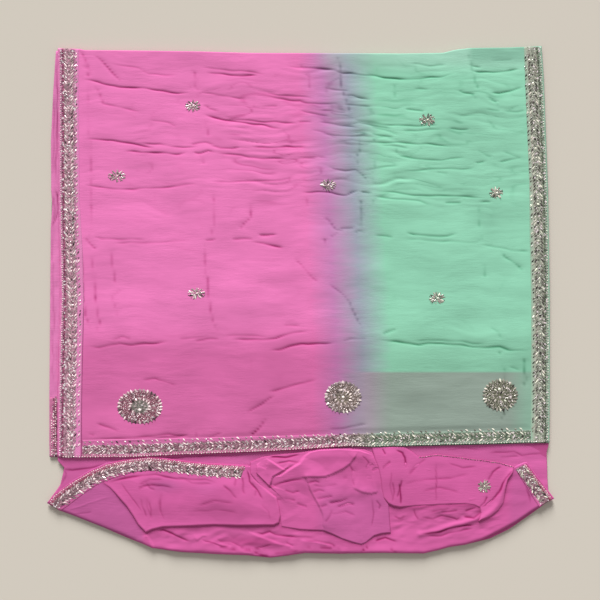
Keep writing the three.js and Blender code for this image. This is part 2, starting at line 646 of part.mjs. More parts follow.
function foldedLayers() {
  const topEdgeAt = (across) => read(palluOuter[0], 'across', 'down', across);
  const across = (share, down, inset) => mix(palluLeftAt(down) + inset, palluRightAt(down) - inset, share);
  const stackRow = (part, inset) => columnShare.map((share) => {
    const nominal = mix(...STACK_SPAN, part);
    const first = topEdgeAt(across(share, nominal, 0)) + inset;
    const last = palluEndAt(across(share, nominal, 0)) - STACK_END;
    const down = mix(first, last, part);
    return point(across(share, down, inset), down, STACK);
  });
  const last = columnShare.length - 1;
  const below = (at) => ({ ...at, spot: [at.spot[0], at.spot[1], at.spot[2] - SEAM] });
  const between = (from, to, part) => ({
    across: mix(from.across, to.across, part),
    down: mix(from.down, to.down, part),
    spot: mixPoint(from.spot, to.spot, part),
    facing: from.facing,
  });
  const drawn = (from, to) => {
    const at = between(from, to, EDGE_PULL);
    return { ...at, spot: [at.spot[0], at.spot[1], at.spot[2] - EDGE_DROP] };
  };
  const drawSides = (row) => {
    const spread = [...row];
    spread[0] = drawn(row[0], row[1]);
    spread[last] = drawn(row[last], row[last - 1]);
    return spread;
  };
  const stack = STACK_ROWS.map((part) => stackRow(part, INSET_STEPS));
  const ground = groundInner.slice(0, groundLast).map((row) => drawSides(row.map(below)));
  const loose = tailInner.map((row) => drawSides(row.map(below)));
  loose[tailLastRow] = loose[tailLastRow].map((at, column) => drawn(at, loose[tailLastRow - 1][column]));
  const top = [...stack, ...ground, ...loose];

  // The outline that the lips reach for: the pallu's own edge beside the stack, the loose cloth's edge below.
  const rows = top.length;
  const stackCount = stack.length;
  const flat = [...groundInner.slice(0, groundLast), ...tailInner];
  const outlineOf = (row, column) => {
    if (row >= stackCount) return flat[row - stackCount][column];
    const at = top[row][column];
    const side = column === 0 || column === last;
    const down = row === 0 ? topEdgeAt(at.across) : at.down;
    const edge = column === 0 ? palluLeftAt(down) : palluRightAt(down);
    return point(side ? edge : at.across, down, 0);
  };
  const boundary = rimOf(rows - 1, last);
  const ringPoint = ([row, column], ring) => {
    const at = top[row][column];
    const edge = outlineOf(row, column);
    const onStack = row < stackCount;
    const shelved = row <= stackCount && column === 0;
    const lip = (shelved ? SHELF_LIPS : onStack ? LIPS : TAIL_LIPS)[ring];
    const x = mix(at.spot[0], edge.spot[0], lip.out);
    const y = mix(at.spot[1], edge.spot[1], lip.out);
    const shelf = shelved ? lip.shelf * (palluLeftAt(edge.down) - underEdgeAt(edge.down)) * STEP : 0;
    return [x - shelf, y, Math.min(lip.height, Math.max(at.spot[2] - (ring + 1) * LIP_DROP, 0))];
  };

  const points = top.flat().map((at) => at.spot);
  const faces = [];
  const topIndex = (row, column) => row * (last + 1) + column;
  for (let row = 1; row < rows; row += 1) {
    for (let column = 1; column <= last; column += 1) {
      faces.push(...cellFaces(
        topIndex(row - 1, column - 1),
        topIndex(row - 1, column),
        topIndex(row, column),
        topIndex(row, column - 1),
      ));
    }
  }
  let ring = boundary.map(([row, column]) => topIndex(row, column));
  LIPS.forEach((_, index) => {
    const next = boundary.map((at) => points.push(ringPoint(at, index)) - 1);
    ring.forEach((corner, at) => {
      const after = (at + 1) % ring.length;
      faces.push([corner, next[at], ring[after]], [next[at], next[after], ring[after]]);
    });
    ring = next;
  });
  const outline = ring.map((corner) => new THREE.Vector2(points[corner][0], points[corner][1]));
  for (const [a, b, c] of THREE.ShapeUtils.triangulateShape(outline, [])) {
    faces.push([ring[a], ring[c], ring[b]]);
  }
  return solid('folded_layers', points, faces, PINK);
}

// ---------- Motifs: round medallions and small flowers ----------
// The height of a surface's triangles at a place, or nothing where the place is off the surface.
function heightOn(surface, x, y) {
  for (let row = 1; row < surface.length; row += 1) {
    for (let column = 1; column < surface[0].length; column += 1) {
      const a = surface[row - 1][column - 1].spot;
      const b = surface[row - 1][column].spot;
      const c = surface[row][column].spot;
      const d = surface[row][column - 1].spot;
      for (const [p, q, r] of [[a, d, c], [a, c, b]]) {
        const area = (q[0] - p[0]) * (r[1] - p[1]) - (r[0] - p[0]) * (q[1] - p[1]);
        const shareQ = ((x - p[0]) * (r[1] - p[1]) - (r[0] - p[0]) * (y - p[1])) / area;
        const shareR = ((q[0] - p[0]) * (y - p[1]) - (x - p[0]) * (q[1] - p[1])) / area;
        if (shareQ >= 0 && shareR >= 0 && shareQ + shareR <= 1) {
          return p[2] + shareQ * (q[2] - p[2]) + shareR * (r[2] - p[2]);
        }
      }
    }
  }
  return -Infinity;
}

// The highest point of a surface under an oval.
const SAMPLE_TURNS = 16;
const SAMPLE_RINGS = 6;
function highestUnder(surface, x, y, halfWide, halfHigh) {
  let highest = -Infinity;
  for (let ring = 0; ring <= SAMPLE_RINGS; ring += 1) {
    for (let turn = 0; turn < SAMPLE_TURNS; turn += 1) {
      const angle = (turn / SAMPLE_TURNS) * Math.PI * 2;
      const out = ring / SAMPLE_RINGS;
      const at = [x + halfWide * out * Math.cos(angle), y + halfHigh * out * Math.sin(angle)];
      highest = Math.max(highest, heightOn(surface, ...at));
    }
  }
  return highest;
}

// An oval motif with pointed petals round its rim, flat below, rising to its centre stone.
const MOTIF_HEART = 0.45;
const MOTIF_RIM = 1.2;
const MOTIF_CROWN = 2.2;
const MEDALLION_NOTCH = 0.88;
const BUTI_NOTCH = 0.6;
function motif(surface, { name, across, down, wide, high }, petals, notch) {
  const x = placeX(across);
  const y = placeY(down);
  const halfWide = (wide * STEP) / 2;
  const halfHigh = (high * STEP) / 2;
  const seat = highestUnder(surface, x, y, halfWide, halfHigh) + SEAM;
  const turns = petals * 2;
  const ring = (out, height, notched) => Array.from({ length: turns }, (_, turn) => {
    const angle = (turn / turns) * Math.PI * 2;
    const size = out * (notched && turn % 2 === 1 ? notch : 1);
    return [x + halfWide * size * Math.cos(angle), y + halfHigh * size * Math.sin(angle), seat + height];
  });
  const rings = [
    ring(MOTIF_HEART, MOTIF_THICK, false),
    ring(1, MOTIF_RIM, true),
    ring(1, 0, true),
  ];
  const points = [[x, y, seat + MOTIF_CROWN], ...rings.flat(), [x, y, seat]];
  const last = points.length - 1;
  const faces = [];
  for (let turn = 0; turn < turns; turn += 1) {
    const next = (turn + 1) % turns;
    faces.push([0, 1 + turn, 1 + next]);
    for (let level = 0; level < rings.length - 1; level += 1) {
      const start = 1 + level * turns;
      const below = start + turns;
      faces.push([start + turn, below + turn, start + next], [below + turn, below + next, start + next]);
    }
    const rim = 1 + (rings.length - 1) * turns;
    faces.push([last, rim + next, rim + turn]);
  }
  return solid(name, points, faces, CRYSTAL);
}

const medallions = MEDALLIONS.map((row) => motif(palluOuter, row, MEDALLION_PETALS, MEDALLION_NOTCH));
const butis = BUTIS.map((row) => motif(palluOuter, row, BUTI_PETALS, BUTI_NOTCH));
const tailButi = motif(tailOuter, TAIL_BUTI, BUTI_PETALS, BUTI_NOTCH);

// ---------- The saree ----------
const saree = new THREE.Group();
saree.name = 'saree';
saree.add(
  foldedLayers(),
  pallu,
  borderLeft,
  borderRight,
  borderEnd,
  underLayer,
  borderUnder,
  groundLeft,
  groundRight,
  ...tailStretches,
  borderTailLeft,
  borderTailRight,
  trimTailRight,
  ...medallions,
  ...butis,
  tailButi,
);
export default saree;
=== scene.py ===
# A saree, folded and laid flat. Metres, +Z up, the origin on the floor under the middle of the whole.
# Places in plan are given in steps of the cutter's layout grid, across from the left and down from the top.
import math

import bpy
import numpy as np
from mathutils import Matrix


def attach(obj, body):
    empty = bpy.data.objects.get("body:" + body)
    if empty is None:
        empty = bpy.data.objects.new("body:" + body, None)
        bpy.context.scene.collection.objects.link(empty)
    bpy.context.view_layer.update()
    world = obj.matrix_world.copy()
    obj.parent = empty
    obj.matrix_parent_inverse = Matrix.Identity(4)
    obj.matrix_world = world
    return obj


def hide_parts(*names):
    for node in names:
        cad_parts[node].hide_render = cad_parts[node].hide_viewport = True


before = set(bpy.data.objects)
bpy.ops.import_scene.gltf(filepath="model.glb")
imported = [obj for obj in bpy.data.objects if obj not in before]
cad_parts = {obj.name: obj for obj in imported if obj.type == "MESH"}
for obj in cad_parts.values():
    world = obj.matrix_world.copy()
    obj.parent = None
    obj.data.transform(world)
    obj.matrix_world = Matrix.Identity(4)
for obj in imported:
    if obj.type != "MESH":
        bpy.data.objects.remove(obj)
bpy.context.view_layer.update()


# ---------- Pallu cloth ----------
# The top stretch of the saree: crinkled georgette, dip-dyed from pink to mint, 1.1 m between its selvedges.
# It turns over a fold at the top, lies loosely crinkled on the layers below, and ends at its border.
STEP = 1.1 / 489
MIDDLE_ACROSS, MIDDLE_DOWN = 300.5, 301.58
MM = 0.001


def x_of(across):
    """Metres to the right of the origin, from steps across."""
    return (across - MIDDLE_ACROSS) * STEP


def y_of(down):
    """Metres beyond the origin, from steps down."""
    return (MIDDLE_DOWN - down) * STEP


def place(across, down, height):
    """Points in metres, from steps across and down the layout and a height in millimetres."""
    return np.stack([x_of(across), y_of(down), np.broadcast_to(height, np.shape(across)) * MM], axis=-1)


def along(line, at):
    """Second number of a line of pairs, read straight between its points at a first number."""
    table = np.array(line, float)
    return np.interp(at, table[:, 0], table[:, 1])


def eased(value):
    """0 below 0 and 1 above 1, with the cubic 3v^2 - 2v^3 between."""
    part = np.clip(value, 0, 1)
    return part * part * (3 - 2 * part)


def quarter(part):
    """Height of a quarter circle, from 0 at 0, where it stands upright, to 1 at 1: the root of 1 - (1 - part)^2."""
    return np.sqrt(1 - (1 - part) ** 2)


def drift(across, down, cell_across, cell_down, seed, ease=eased):
    """Smooth random height from -1 to 1: one random value for each cell of a lattice, eased between cells."""
    lattice = np.random.default_rng(seed).uniform(-1, 1, (256, 256))
    a, d = across / cell_across + 40, down / cell_down + 40
    column, row = np.floor(a).astype(int), np.floor(d).astype(int)
    right, below = ease(a - column), ease(d - row)

    def value(r, c):
        """The lattice's value below and right of each place by this many cells."""
        return lattice[(row + r) % 256, (column + c) % 256]

    upper = value(0, 0) * (1 - right) + value(0, 1) * right
    lower = value(1, 0) * (1 - right) + value(1, 1) * right
    return upper * (1 - below) + lower * below


def to_line(line, across, down):
    """Distance in steps to a line of points, which side of it (+1 on the left hand of its travel), and how far
    along it the nearest point lies, from 0 to 1."""
    points = np.array(line, float).reshape(-1, 2)
    lengths = np.hypot(*np.diff(points, axis=0).T)
    starts = np.concatenate([[0], np.cumsum(lengths)])
    nearest = np.full(across.shape, np.inf)
    side, travel = np.zeros(across.shape), np.zeros(across.shape)
    for leg, length in enumerate(lengths):
        (start_a, start_d), (run_a, run_d) = points[leg], points[leg + 1] - points[leg]
        off_a, off_d = across - start_a, down - start_d
        part = np.clip((off_a * run_a + off_d * run_d) / length ** 2, 0, 1)
        distance = np.hypot(off_a - run_a * part, off_d - run_d * part)
        closer = distance < nearest
        nearest = np.where(closer, distance, nearest)
        side = np.where(closer, np.sign(run_d * off_a - run_a * off_d), side)
        travel = np.where(closer, (starts[leg] + part * length) / starts[-1], travel)
    return nearest, side, travel


FADE = 0.18         # share of a crease's length over which it dies out at each end
SHARP = 0.8         # half width of the pinched line at a crease's bottom, in steps
SWAY = 0.9          # how far a crease strays from its line, in steps


def creases_at(table, across, down):
    """How far creases cut in, in millimetres, and how closed they are, from 0 to 1. The closed share is painted
    shade: the cloth's colour is darkened by it in each crease. Each row of the table is a strength, a reach and a
    line. The cut falls off as exp(-distance / (0.6 reach)), with a pinch of exp(-(distance / SHARP)^2) at its
    bottom, and both fade out at the line's ends. Drifts make each crease stray a little and come and go along its way."""
    cut, closed = np.zeros(across.shape), np.zeros(across.shape)
    strayed_a = across + SWAY * drift(across, down, 9, 7, 14)
    strayed_d = down + SWAY * drift(across, down, 11, 8, 15)
    uneven = 0.86 + 0.5 * drift(across, down, 12, 9, 16)
    for strength, reach, line in table:
        points = np.array(line, float).reshape(-1, 2)
        low, high = points.min(axis=0) - 5 * reach, points.max(axis=0) + 5 * reach
        near = (across > low[0]) & (across < high[0]) & (down > low[1]) & (down < high[1])
        if not near.any():
            continue
        away, _, travel = to_line(line, strayed_a[near], strayed_d[near])
        fade = eased(travel / FADE) * eased((1 - travel) / FADE) * uneven[near]
        pinch = np.exp(-(away / SHARP) ** 2)
        wide = np.exp(-away / (0.6 * reach))
        cut[near] += strength * fade * (CREASE_CUT * wide + CREASE_PINCH * pinch)
        # Painted shade in the crease, strongest at its pinched bottom.
        closed[near] = np.maximum(closed[near], strength * fade * (1.1 * pinch + 0.14 * wide))
    return cut, closed


PALLU_LEFT = ((46, 57.5), (120, 58), (200, 58.2), (300, 60), (350, 58.5), (400, 57.5), (460, 57))
PALLU_RIGHT = ((44, 541.5), (80, 544), (160, 547), (200, 548.5), (300, 550), (400, 550), (460, 549.5))
PALLU_TOP = ((57, 47.8), (80, 48.6), (84, 49.8), (130, 50.2), (200, 51.2), (250, 52.6), (330, 53), (400, 53.2),
             (443, 52.6), (455, 49.6), (470, 47.8), (510, 47.2), (542, 45.7))
PALLU_END = ((57, 455), (60, 457.6), (64, 458.5), (130, 458), (180, 455.5), (250, 453), (290, 451), (350, 446.8),
             (372, 447.6), (430, 446), (500, 444.4), (550, 442.6))
PALLU_BASE = 9.8        # height of the cloth's outer face where a crease has pulled it down to the stack
PALLU_UNDER = 8.35      # height of its hidden inner face
PALLU_LIFT = 2.5        # how far it stands up between the creases, in millimetres
CREASE_CUT, CREASE_PINCH = 1.15, 1.25
PALLU_CREASES = (
    (.35, 9, (91, 58, 89, 120, 92, 180, 90, 246)),
    (.9, 5, (82, 79, 92, 80, 103, 84, 120, 87, 145, 88, 160, 91, 178, 93.5, 193, 92)),
    (.5, 4, (201, 93, 215, 95, 230, 97, 248, 99.5)),
    (.6, 4, (93, 54, 103, 62, 112, 72, 123, 84)),
    (.5, 4, (80, 51, 84, 56, 86, 62, 87, 70)),
    (.4, 10, (110, 64, 140, 68, 150, 75, 180, 75)),
    (.4, 5, (93, 84, 98, 92, 104, 104, 130, 110, 142, 113)),
    (.7, 4, (192, 69, 196, 74, 197, 80, 196, 86, 199, 91)),
    (.8, 5, (205, 73, 225, 74, 240, 76, 259, 76)),
    (.4, 5, (200, 67, 215, 69, 230, 70, 268, 75)),
    (1, 6, (203, 114, 215, 117.5, 225, 120, 240, 122, 262, 125, 270, 127, 285, 129)),
    (.8, 5, (228, 119, 250, 120, 262, 122, 300, 123)),
    (.6, 4, (297, 122, 312, 122)),
    (.5, 4, (205, 105, 210, 109, 218, 111)),
    (.5, 4, (262, 92, 272, 94, 280, 96, 300, 97, 318, 100)),
    (.7, 5, (265, 95, 275, 98, 290, 101, 300, 101, 306, 104, 330, 105, 343, 104)),
    (.4, 3, (262, 106, 278, 107)),
    (.6, 4, (343, 105, 355, 106, 372, 107)),
    (.9, 6, (280, 65, 300, 68, 320, 68.5, 335, 70, 343, 73, 362, 75, 380, 77, 400, 79, 420, 79, 445, 76, 460, 73)),
    (.9, 5, (470, 71, 478, 73, 495, 72, 520, 69)),
    (.5, 3, (300, 65, 304, 70)),
    (.5, 3, (305, 74, 310, 79)),
    (.6, 4, (343, 96, 352, 95, 362, 98, 372, 100)),
    (.5, 4, (320, 110, 335, 112, 347, 113)),
    (.6, 5, (318, 121, 330, 124, 345, 126, 360, 129)),
    (.8, 5, (357, 123, 372, 125, 392, 129)),
    (.7, 4, (371, 132, 382, 136, 395, 137)),
    (.5, 4, (375, 125, 395, 126, 440, 126)),
    (.7, 4, (448, 128, 460, 129.5, 470, 129.5)),
    (.4, 4, (400, 131, 445, 130)),
    (.5, 4, (320, 134, 335, 136, 375, 137)),
    (.6, 5, (330, 143, 340, 142.5, 352, 140, 362, 142, 400, 143, 420, 144, 462, 147)),
    (.4, 4, (380, 145, 400, 147, 410, 149)),
    (.7, 5, (395, 152, 402, 156, 415, 158, 440, 160, 455, 158.5, 467, 157.5)),
    (.6, 5, (398, 171.5, 410, 171, 420, 170, 465, 169, 480, 168)),
    (.35, 4, (436, 173, 450, 174)),
    (.6, 4, (475, 163.5, 482, 162.5, 486, 160)),
    (.6, 4, (498, 163, 510, 160.5, 522, 158)),
    (.5, 4, (503, 152, 515, 156, 523, 160)),
    (.4, 5, (362, 171, 375, 169, 400, 165)),
    (.8, 5, (82, 140, 90, 139, 100, 140.5, 112, 140, 125, 142, 145, 146, 158, 149)),
    (.5, 5, (140, 143, 160, 144, 172, 147, 185, 148, 200, 146)),
    (.65, 4, (190, 145, 206, 142, 215, 145)),
    (.7, 5, (210, 145, 220, 148, 232, 149, 240, 147.5)),
    (.8, 5, (250, 147, 268, 148, 285, 147, 300, 146.5, 310, 148)),
    (.8, 5, (124, 152, 145, 152.5, 178, 154.5, 188, 153)),
    (.7, 4, (193, 152, 200, 153.5, 208, 151.5, 215, 153)),
    (.6, 5, (215, 153, 242, 156, 250, 158, 290, 158.5)),
    (.4, 4, (300, 158, 313, 159, 317, 157)),
    (.4, 3, (318, 157.5, 327, 158)),
    (.6, 5, (328, 165, 335, 169, 345, 171, 355, 169, 357, 170, 365, 178, 369, 185)),
    (.6, 6, (83, 182, 88, 186, 112, 189, 135, 189.5, 160, 188, 192, 185, 202, 185)),
    (.45, 5, (210, 182, 262, 181, 282, 180, 296, 177)),
    (.9, 7, (302, 192, 330, 193, 345, 196, 355, 192, 360, 190)),
    (.9, 4, (360, 192, 372, 194)),
    (.6, 6, (372, 192, 395, 192, 415, 196, 470, 197, 487, 199)),
    (.5, 5, (372, 196, 400, 199, 420, 202, 433, 205)),
    (.5, 4, (445, 203, 462, 203)),
    (.7, 3, (480, 203, 490, 202)),
    (.4, 9, (213, 190, 215, 210, 214, 225, 211, 238)),
    (.7, 5, (253, 200, 252, 208, 250, 218, 244, 225, 240, 231)),
    (.3, 4, (306, 195, 308, 210)),
    (.45, 4, (93, 236, 102, 239, 147, 240)),
    (.45, 5, (113, 246, 116, 243, 155, 243, 180, 241, 195, 240)),
    (.7, 4, (205, 240, 215, 239.5)),
    (.8, 5, (232, 240, 255, 238)),
    (.9, 4, (258, 235, 268, 235, 277, 234)),
    (.8, 5, (251, 241, 262, 243.5, 278, 247, 285, 248)),
    (.6, 4, (323, 217, 330, 221, 336, 230, 345, 232)),
    (.6, 3, (330, 237, 338, 233)),
    (.7, 4, (339, 229, 350, 228, 355, 227)),
    (.7, 3, (354, 233, 360, 231, 365, 234)),
    (.4, 4, (325, 238, 326, 250)),
    (.5, 4, (360, 200, 363, 212, 361, 222, 362, 230)),
    (.5, 4, (85, 237, 90, 243, 97, 250)),
    (.6, 9, (94, 252, 93, 262, 94, 280, 96, 300, 99, 320, 98, 338)),
    (.5, 5, (82, 252, 84, 300, 86, 315, 91, 330)),
    (.35, 6, (113, 247, 112, 262, 117, 287)),
    (.25, 5, (123, 288, 112, 297, 119, 318)),
    (.5, 9, (205, 241, 205, 262, 208, 280, 209, 300, 212, 318, 221, 336)),
    (.35, 5, (207, 118, 208, 138)),
    (.3, 4, (202, 155, 203, 165)),
    (.7, 5, (88, 347, 100, 347, 112, 345, 120, 343, 130, 345, 140, 344, 170, 342)),
    (.4, 4, (112, 341, 122, 337, 132, 340)),
    (.4, 5, (178, 339, 212, 336.5)),
    (.8, 5, (195, 341, 220, 338)),
    (.4, 5, (223, 336, 270, 336)),
    (.8, 6, (230, 339, 245, 340, 275, 338.5, 292, 333, 315, 330)),
    (.4, 4, (283, 326, 300, 325)),
    (.95, 6, (268, 350, 280, 350, 290, 346.5, 302, 344, 325, 344, 338, 342)),
    (.7, 5, (341, 342, 350, 339, 368, 338)),
    (.9, 7, (372, 338.5, 390, 341, 418, 344, 450, 344, 485, 348, 500, 347, 510, 350, 533, 350)),
    (.5, 5, (410, 340, 455, 341, 490, 345)),
    (.5, 4, (383, 334, 391, 331, 396, 328)),
    (.75, 7, (328, 282, 337, 289, 350, 302, 354, 312, 363, 330)),
    (.5, 9, (295, 258, 305, 270, 320, 284)),
    (.5, 4, (490, 327, 498, 332, 502, 340)),
    (.5, 3, (497, 350, 502, 355)),
    (.4, 7, (501, 362, 505, 372, 505, 412, 498, 427)),
    (.35, 4, (510, 367, 520, 371)),
    (.8, 4, (524, 357, 525, 380, 523, 388)),
    (.8, 5, (405, 231, 415, 235, 430, 236, 447, 236, 457, 233)),
    (.6, 4, (375, 235, 393, 237)),
    (.4, 4, (400, 239, 440, 241, 475, 243, 481, 240, 482, 232)),
    (.6, 5, (480, 245, 500, 248, 512, 251, 530, 252)),
    (.7, 5, (500, 250, 505, 256, 513, 262, 523, 271)),
    (.4, 4, (484, 263, 486, 278)),
    (.5, 5, (480, 205, 480, 215, 478, 230)),
    (.75, 4, (457, 89, 464, 93, 473, 94, 477, 100)),
    (.8, 4, (490, 93, 500, 94, 510, 92, 523, 87)),
    (.6, 3, (476, 82, 478, 89)),
    (.6, 3, (490, 99, 498, 104)),
    (.5, 3, (487, 110, 500, 111)),
    (.5, 4, (503, 112, 518, 112.5, 526, 110)),
    (.5, 4, (405, 109, 425, 111)),
    (.4, 4, (415, 90, 430, 89)),
    (.7, 3, (469, 65, 474, 67, 480, 68)),
    (.4, 4, (490, 62, 513, 60)),
    (.6, 6, (142, 380, 155, 379, 178, 385)),
    (.6, 5, (97, 423, 108, 427, 120, 432)),
    (.6, 5, (87, 441, 104, 439, 135, 438, 170, 434, 196, 438)),
    (.7, 8, (158, 438, 190, 435)),
    (.5, 3, (90, 433, 95, 436)),
    (.5, 4, (195, 430, 196, 439)),
    (.7, 5, (246, 413, 260, 405, 275, 395)),
    (.7, 6, (267, 392, 280, 389, 298, 384, 318, 380)),
    (.8, 5, (250, 437, 256, 431, 262, 424, 266, 417)),
    (.5, 5, (328, 428, 340, 429, 368, 424)),
    (.5, 5, (208, 438, 222, 432)),
    (.6, 3, (336, 55, 339, 62, 341, 74, 341, 84, 343, 94, 347, 104, 350, 113, 352, 122)),
    (.4, 3, (306, 66, 309, 78, 309, 92)),
    (.5, 3, (357, 135, 361, 148, 356, 158, 359, 166)),
    (.5, 3, (358, 196, 362, 207, 361, 220, 357, 229)),
    (.6, 3, (469, 52, 470, 62, 473, 74, 477, 88)),
    (.5, 3, (487, 96, 494, 100, 499, 107)),
    (.4, 3, (395, 84, 396, 92, 393, 100)),
    (.5, 3, (366, 122, 375, 127, 388, 131, 400, 135)),
    (.5, 3, (352, 118, 362, 122, 378, 124, 398, 127)),
    (.4, 3, (322, 88, 336, 90, 350, 91)),
    (.4, 3, (300, 110, 318, 114, 330, 117)),
    (.4, 3, (310, 130, 324, 133, 338, 139)),
    (.4, 3, (478, 150, 487, 156, 492, 158)),
    (.4, 3, (410, 64, 430, 66, 448, 66)),
    (.4, 3, (85, 60, 90, 70, 88, 78)),
    (.35, 3, (150, 120, 170, 123, 178, 127)),
)
BORDER_CALM = 0.35      # the stitched borders hold the crinkle down to this share
LEFT_BAND, RIGHT_BAND, END_BAND = 24.0, 21.5, 18.0      # widths of the borders, in steps
FOLD_REACH = 0.7        # the top fold rounds over within this many steps of its edge
FOLD_LOW = 2.3          # the lowest that the turned-over cloth reaches, in millimetres
HEM_REACH, HEM_LOW = 0.9, 7.4     # the thin hems round over within this, down to this height


def pallu_height(across, down):
    """Outer height of the pallu in millimetres, and its painted shade: how closed its creases are, the pinched
    valleys of its crinkles, and a band over the rounding of the top fold. Loose cloth stands up by random drifts of
    three sizes, the smallest drawn out sideways into crinkles, and the creases cut into it. Towards the fold at the
    top and the thin hems it rounds down as a quarter of an ellipse."""
    where = (0.25 + 0.75 * eased((across - 190) / 70)) * (1 - 0.35 * eased((across - 400) / 60))
    crinkled = 0.14 + 0.86 * eased((225 - down) / 50) * eased((down - 56) / 30) * where
    crinkled *= 0.7 + 0.5 * drift(across, down, 30, 22, 11)
    bent = down + 5 * drift(across, down, 34, 30, 7) + 1.5 * drift(across, down, 11, 12, 8)
    pleated, finer = drift(across, bent, 44, 8.5, 9), drift(across, bent, 24, 5, 18)
    loose = (PALLU_LIFT + 0.8 * drift(across, down, 46, 17, 3) + 0.32 * drift(across, bent, 27, 9, 13)
             + 0.12 * drift(across, bent, 13, 3.6, 17) + 0.5 * crinkled * drift(across, bent, 24, 6.5, 4)
             + crinkled * (1.25 * (np.abs(pleated) ** 0.75 - 0.5) + 0.4 * drift(across, bent, 19, 3.1, 5)
                           + 0.5 * np.abs(finer) ** 0.75))
    cut, closed = creases_at(PALLU_CREASES, across, down)
    patches = drift(across, down, 26, 14, 10)
    # Painted shade in the pinched valleys of the crinkles.
    pinched = np.maximum(np.exp(-(pleated / 0.07) ** 2) * eased(patches + 0.35),
                         0.8 * np.exp(-(finer / 0.1) ** 2) * eased(0.3 - 1.5 * patches))
    closed = np.maximum(closed, 0.75 * crinkled * pinched)
    from_left = across - along(PALLU_LEFT, down)
    from_right = along(PALLU_RIGHT, down) - across
    from_end = along(PALLU_END, across) - down
    free = np.minimum(np.minimum(eased((from_left - LEFT_BAND + 4) / 7), eased((from_right - RIGHT_BAND + 4) / 7)),
                      eased((from_end - END_BAND + 3) / 6))
    calm = BORDER_CALM + (1 - BORDER_CALM) * free
    height = PALLU_BASE + np.maximum((loose - 0.6) * calm + 0.6 - cut * (0.4 + 0.6 * calm), -0.9)
    over = np.clip((down - along(PALLU_TOP, across)) / FOLD_REACH, 0, 1)
    height = FOLD_LOW + (height - FOLD_LOW) * quarter(over)
    for edge in (from_left, from_right, from_end):
        turn = np.clip(edge / HEM_REACH, 0, 1)
        height = np.where(height > HEM_LOW, HEM_LOW + (height - HEM_LOW) * quarter(turn), height)
    # The painted shade is held down on the borders, and laid over the top fold's rounding to darken it.
    return height, np.maximum(closed * calm, 0.6 * (1 - over))


def grid_faces(rows, columns, flip=False):
    """The quads of a grid of points numbered row by row, rows running down the layout, seen from above."""
    corner = np.arange(rows * columns).reshape(rows, columns)
    quads = np.stack([corner[:-1, :-1], corner[1:, :-1], corner[1:, 1:], corner[:-1, 1:]], axis=-1).reshape(-1, 4)
    return quads[:, ::-1] if flip else quads


def rim_of(rows, columns):
    """Numbers of the points round a grid: down its left side, along its last row, up and back."""
    corner = np.arange(rows * columns).reshape(rows, columns)
    return np.concatenate([corner[:-1, 0], corner[-1, :-1], corner[:0:-1, -1], corner[0, :0:-1]])


def make_piece(name, points, faces, material, smooth=True, marks=None):
    """A mesh object from an array of points and lists of faces, smooth or faceted, with named values of its points."""
    mesh = bpy.data.meshes.new(name)
    mesh.from_pydata(points.reshape(-1, 3).tolist(), [], [list(face) for part in faces for face in part])
    mesh.polygons.foreach_set("use_smooth", np.full(len(mesh.polygons), smooth))
    for mark, values in (marks or {}).items():
        mesh.attributes.new(mark, "FLOAT", "POINT").data.foreach_set("value", np.ravel(values).astype(np.float32))
    mesh.materials.append(material)
    mesh.update()
    piece = bpy.data.objects.new(name, mesh)
    bpy.context.scene.collection.objects.link(piece)
    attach(piece, "root")
    return piece


RUNGS = 12          # rows that a sheet's hidden face keeps


def padded_sheet(name, outer, material, marks, tuck, under):
    """A piece of cloth with a fine outer face. The rim turns in under it by tuck, a share of the way to the middle,
    to the height under in millimetres. The hidden face at that height keeps a few rows of the outer face's points,
    joined as a ladder: quads between two kept rows, and a many-sided face at each end that takes in the rim."""
    rows, columns = outer.shape[:2]
    rim = rim_of(rows, columns)
    flat = outer.reshape(-1, 3)
    kept = np.linspace(0, rows - 1, RUNGS).astype(int)
    number = np.full((rows, columns), -1)
    number.ravel()[rim] = rows * columns + np.arange(len(rim))
    rungs = np.ix_(kept[1:-1], np.arange(1, columns - 1))
    inner = number[rungs].size
    number[rungs] = rows * columns + len(rim) + np.arange(inner).reshape(RUNGS - 2, columns - 2)
    source = np.empty(len(rim) + inner, int)
    used = number >= 0
    source[number[used] - rows * columns] = np.flatnonzero(used)
    turned = flat[source] + (flat[rim].mean(axis=0) - flat[source]) * tuck
    turned[:, 2] = under * MM
    ring = number.ravel()[rim]
    sides = np.stack([rim, ring, np.roll(ring, -1), np.roll(rim, -1)], axis=-1)
    upper, lower = number[kept[:-1]], number[kept[1:]]
    below = np.stack([upper[:, 1:-2], upper[:, 2:-1], lower[:, 2:-1], lower[:, 1:-2]], axis=-1).reshape(-1, 4)
    ends = []
    for a, b in zip(kept[:-1], kept[1:]):
        ends.append(np.concatenate([number[a, :2], number[b, 1::-1], number[b - 1:a:-1, 0]]))
        ends.append(np.concatenate([number[a, -2:-1], number[a:b + 1, -1], number[b, -2:-1]]))
    marks = {mark: np.concatenate([np.ravel(values), np.ravel(values)[source]]) for mark, values in marks.items()}
    faces = [grid_faces(rows, columns), sides, below, ends]
    return make_piece(name, np.concatenate([flat, turned]), faces, material, marks=marks)


def node(tree, kind, **settings):
    """A shader node with its settings, and its unlinked sockets' values under in_0, in_1 and so on."""
    made = tree.nodes.new(kind)
    for key, value in settings.items():
        if key.startswith("in_"):
            name = key[3:]
            made.inputs[int(name) if name.isdigit() else name.replace("_", " ")].default_value = value
        else:
            setattr(made, key, value)
    return made


def shade(red, green, blue):
    """A colour in linear light from its everyday 0 to 255 values."""
    part = np.array([red, green, blue]) / 255
    return (*np.where(part <= 0.04045, part / 12.92, ((part + 0.055) / 1.055) ** 2.4).tolist(), 1.0)


def feed(tree, socket, value):
    """Give a socket another socket's value, or a fixed one."""
    if isinstance(value, bpy.types.NodeSocket):
        tree.links.new(value, socket)
    else:
        socket.default_value = value


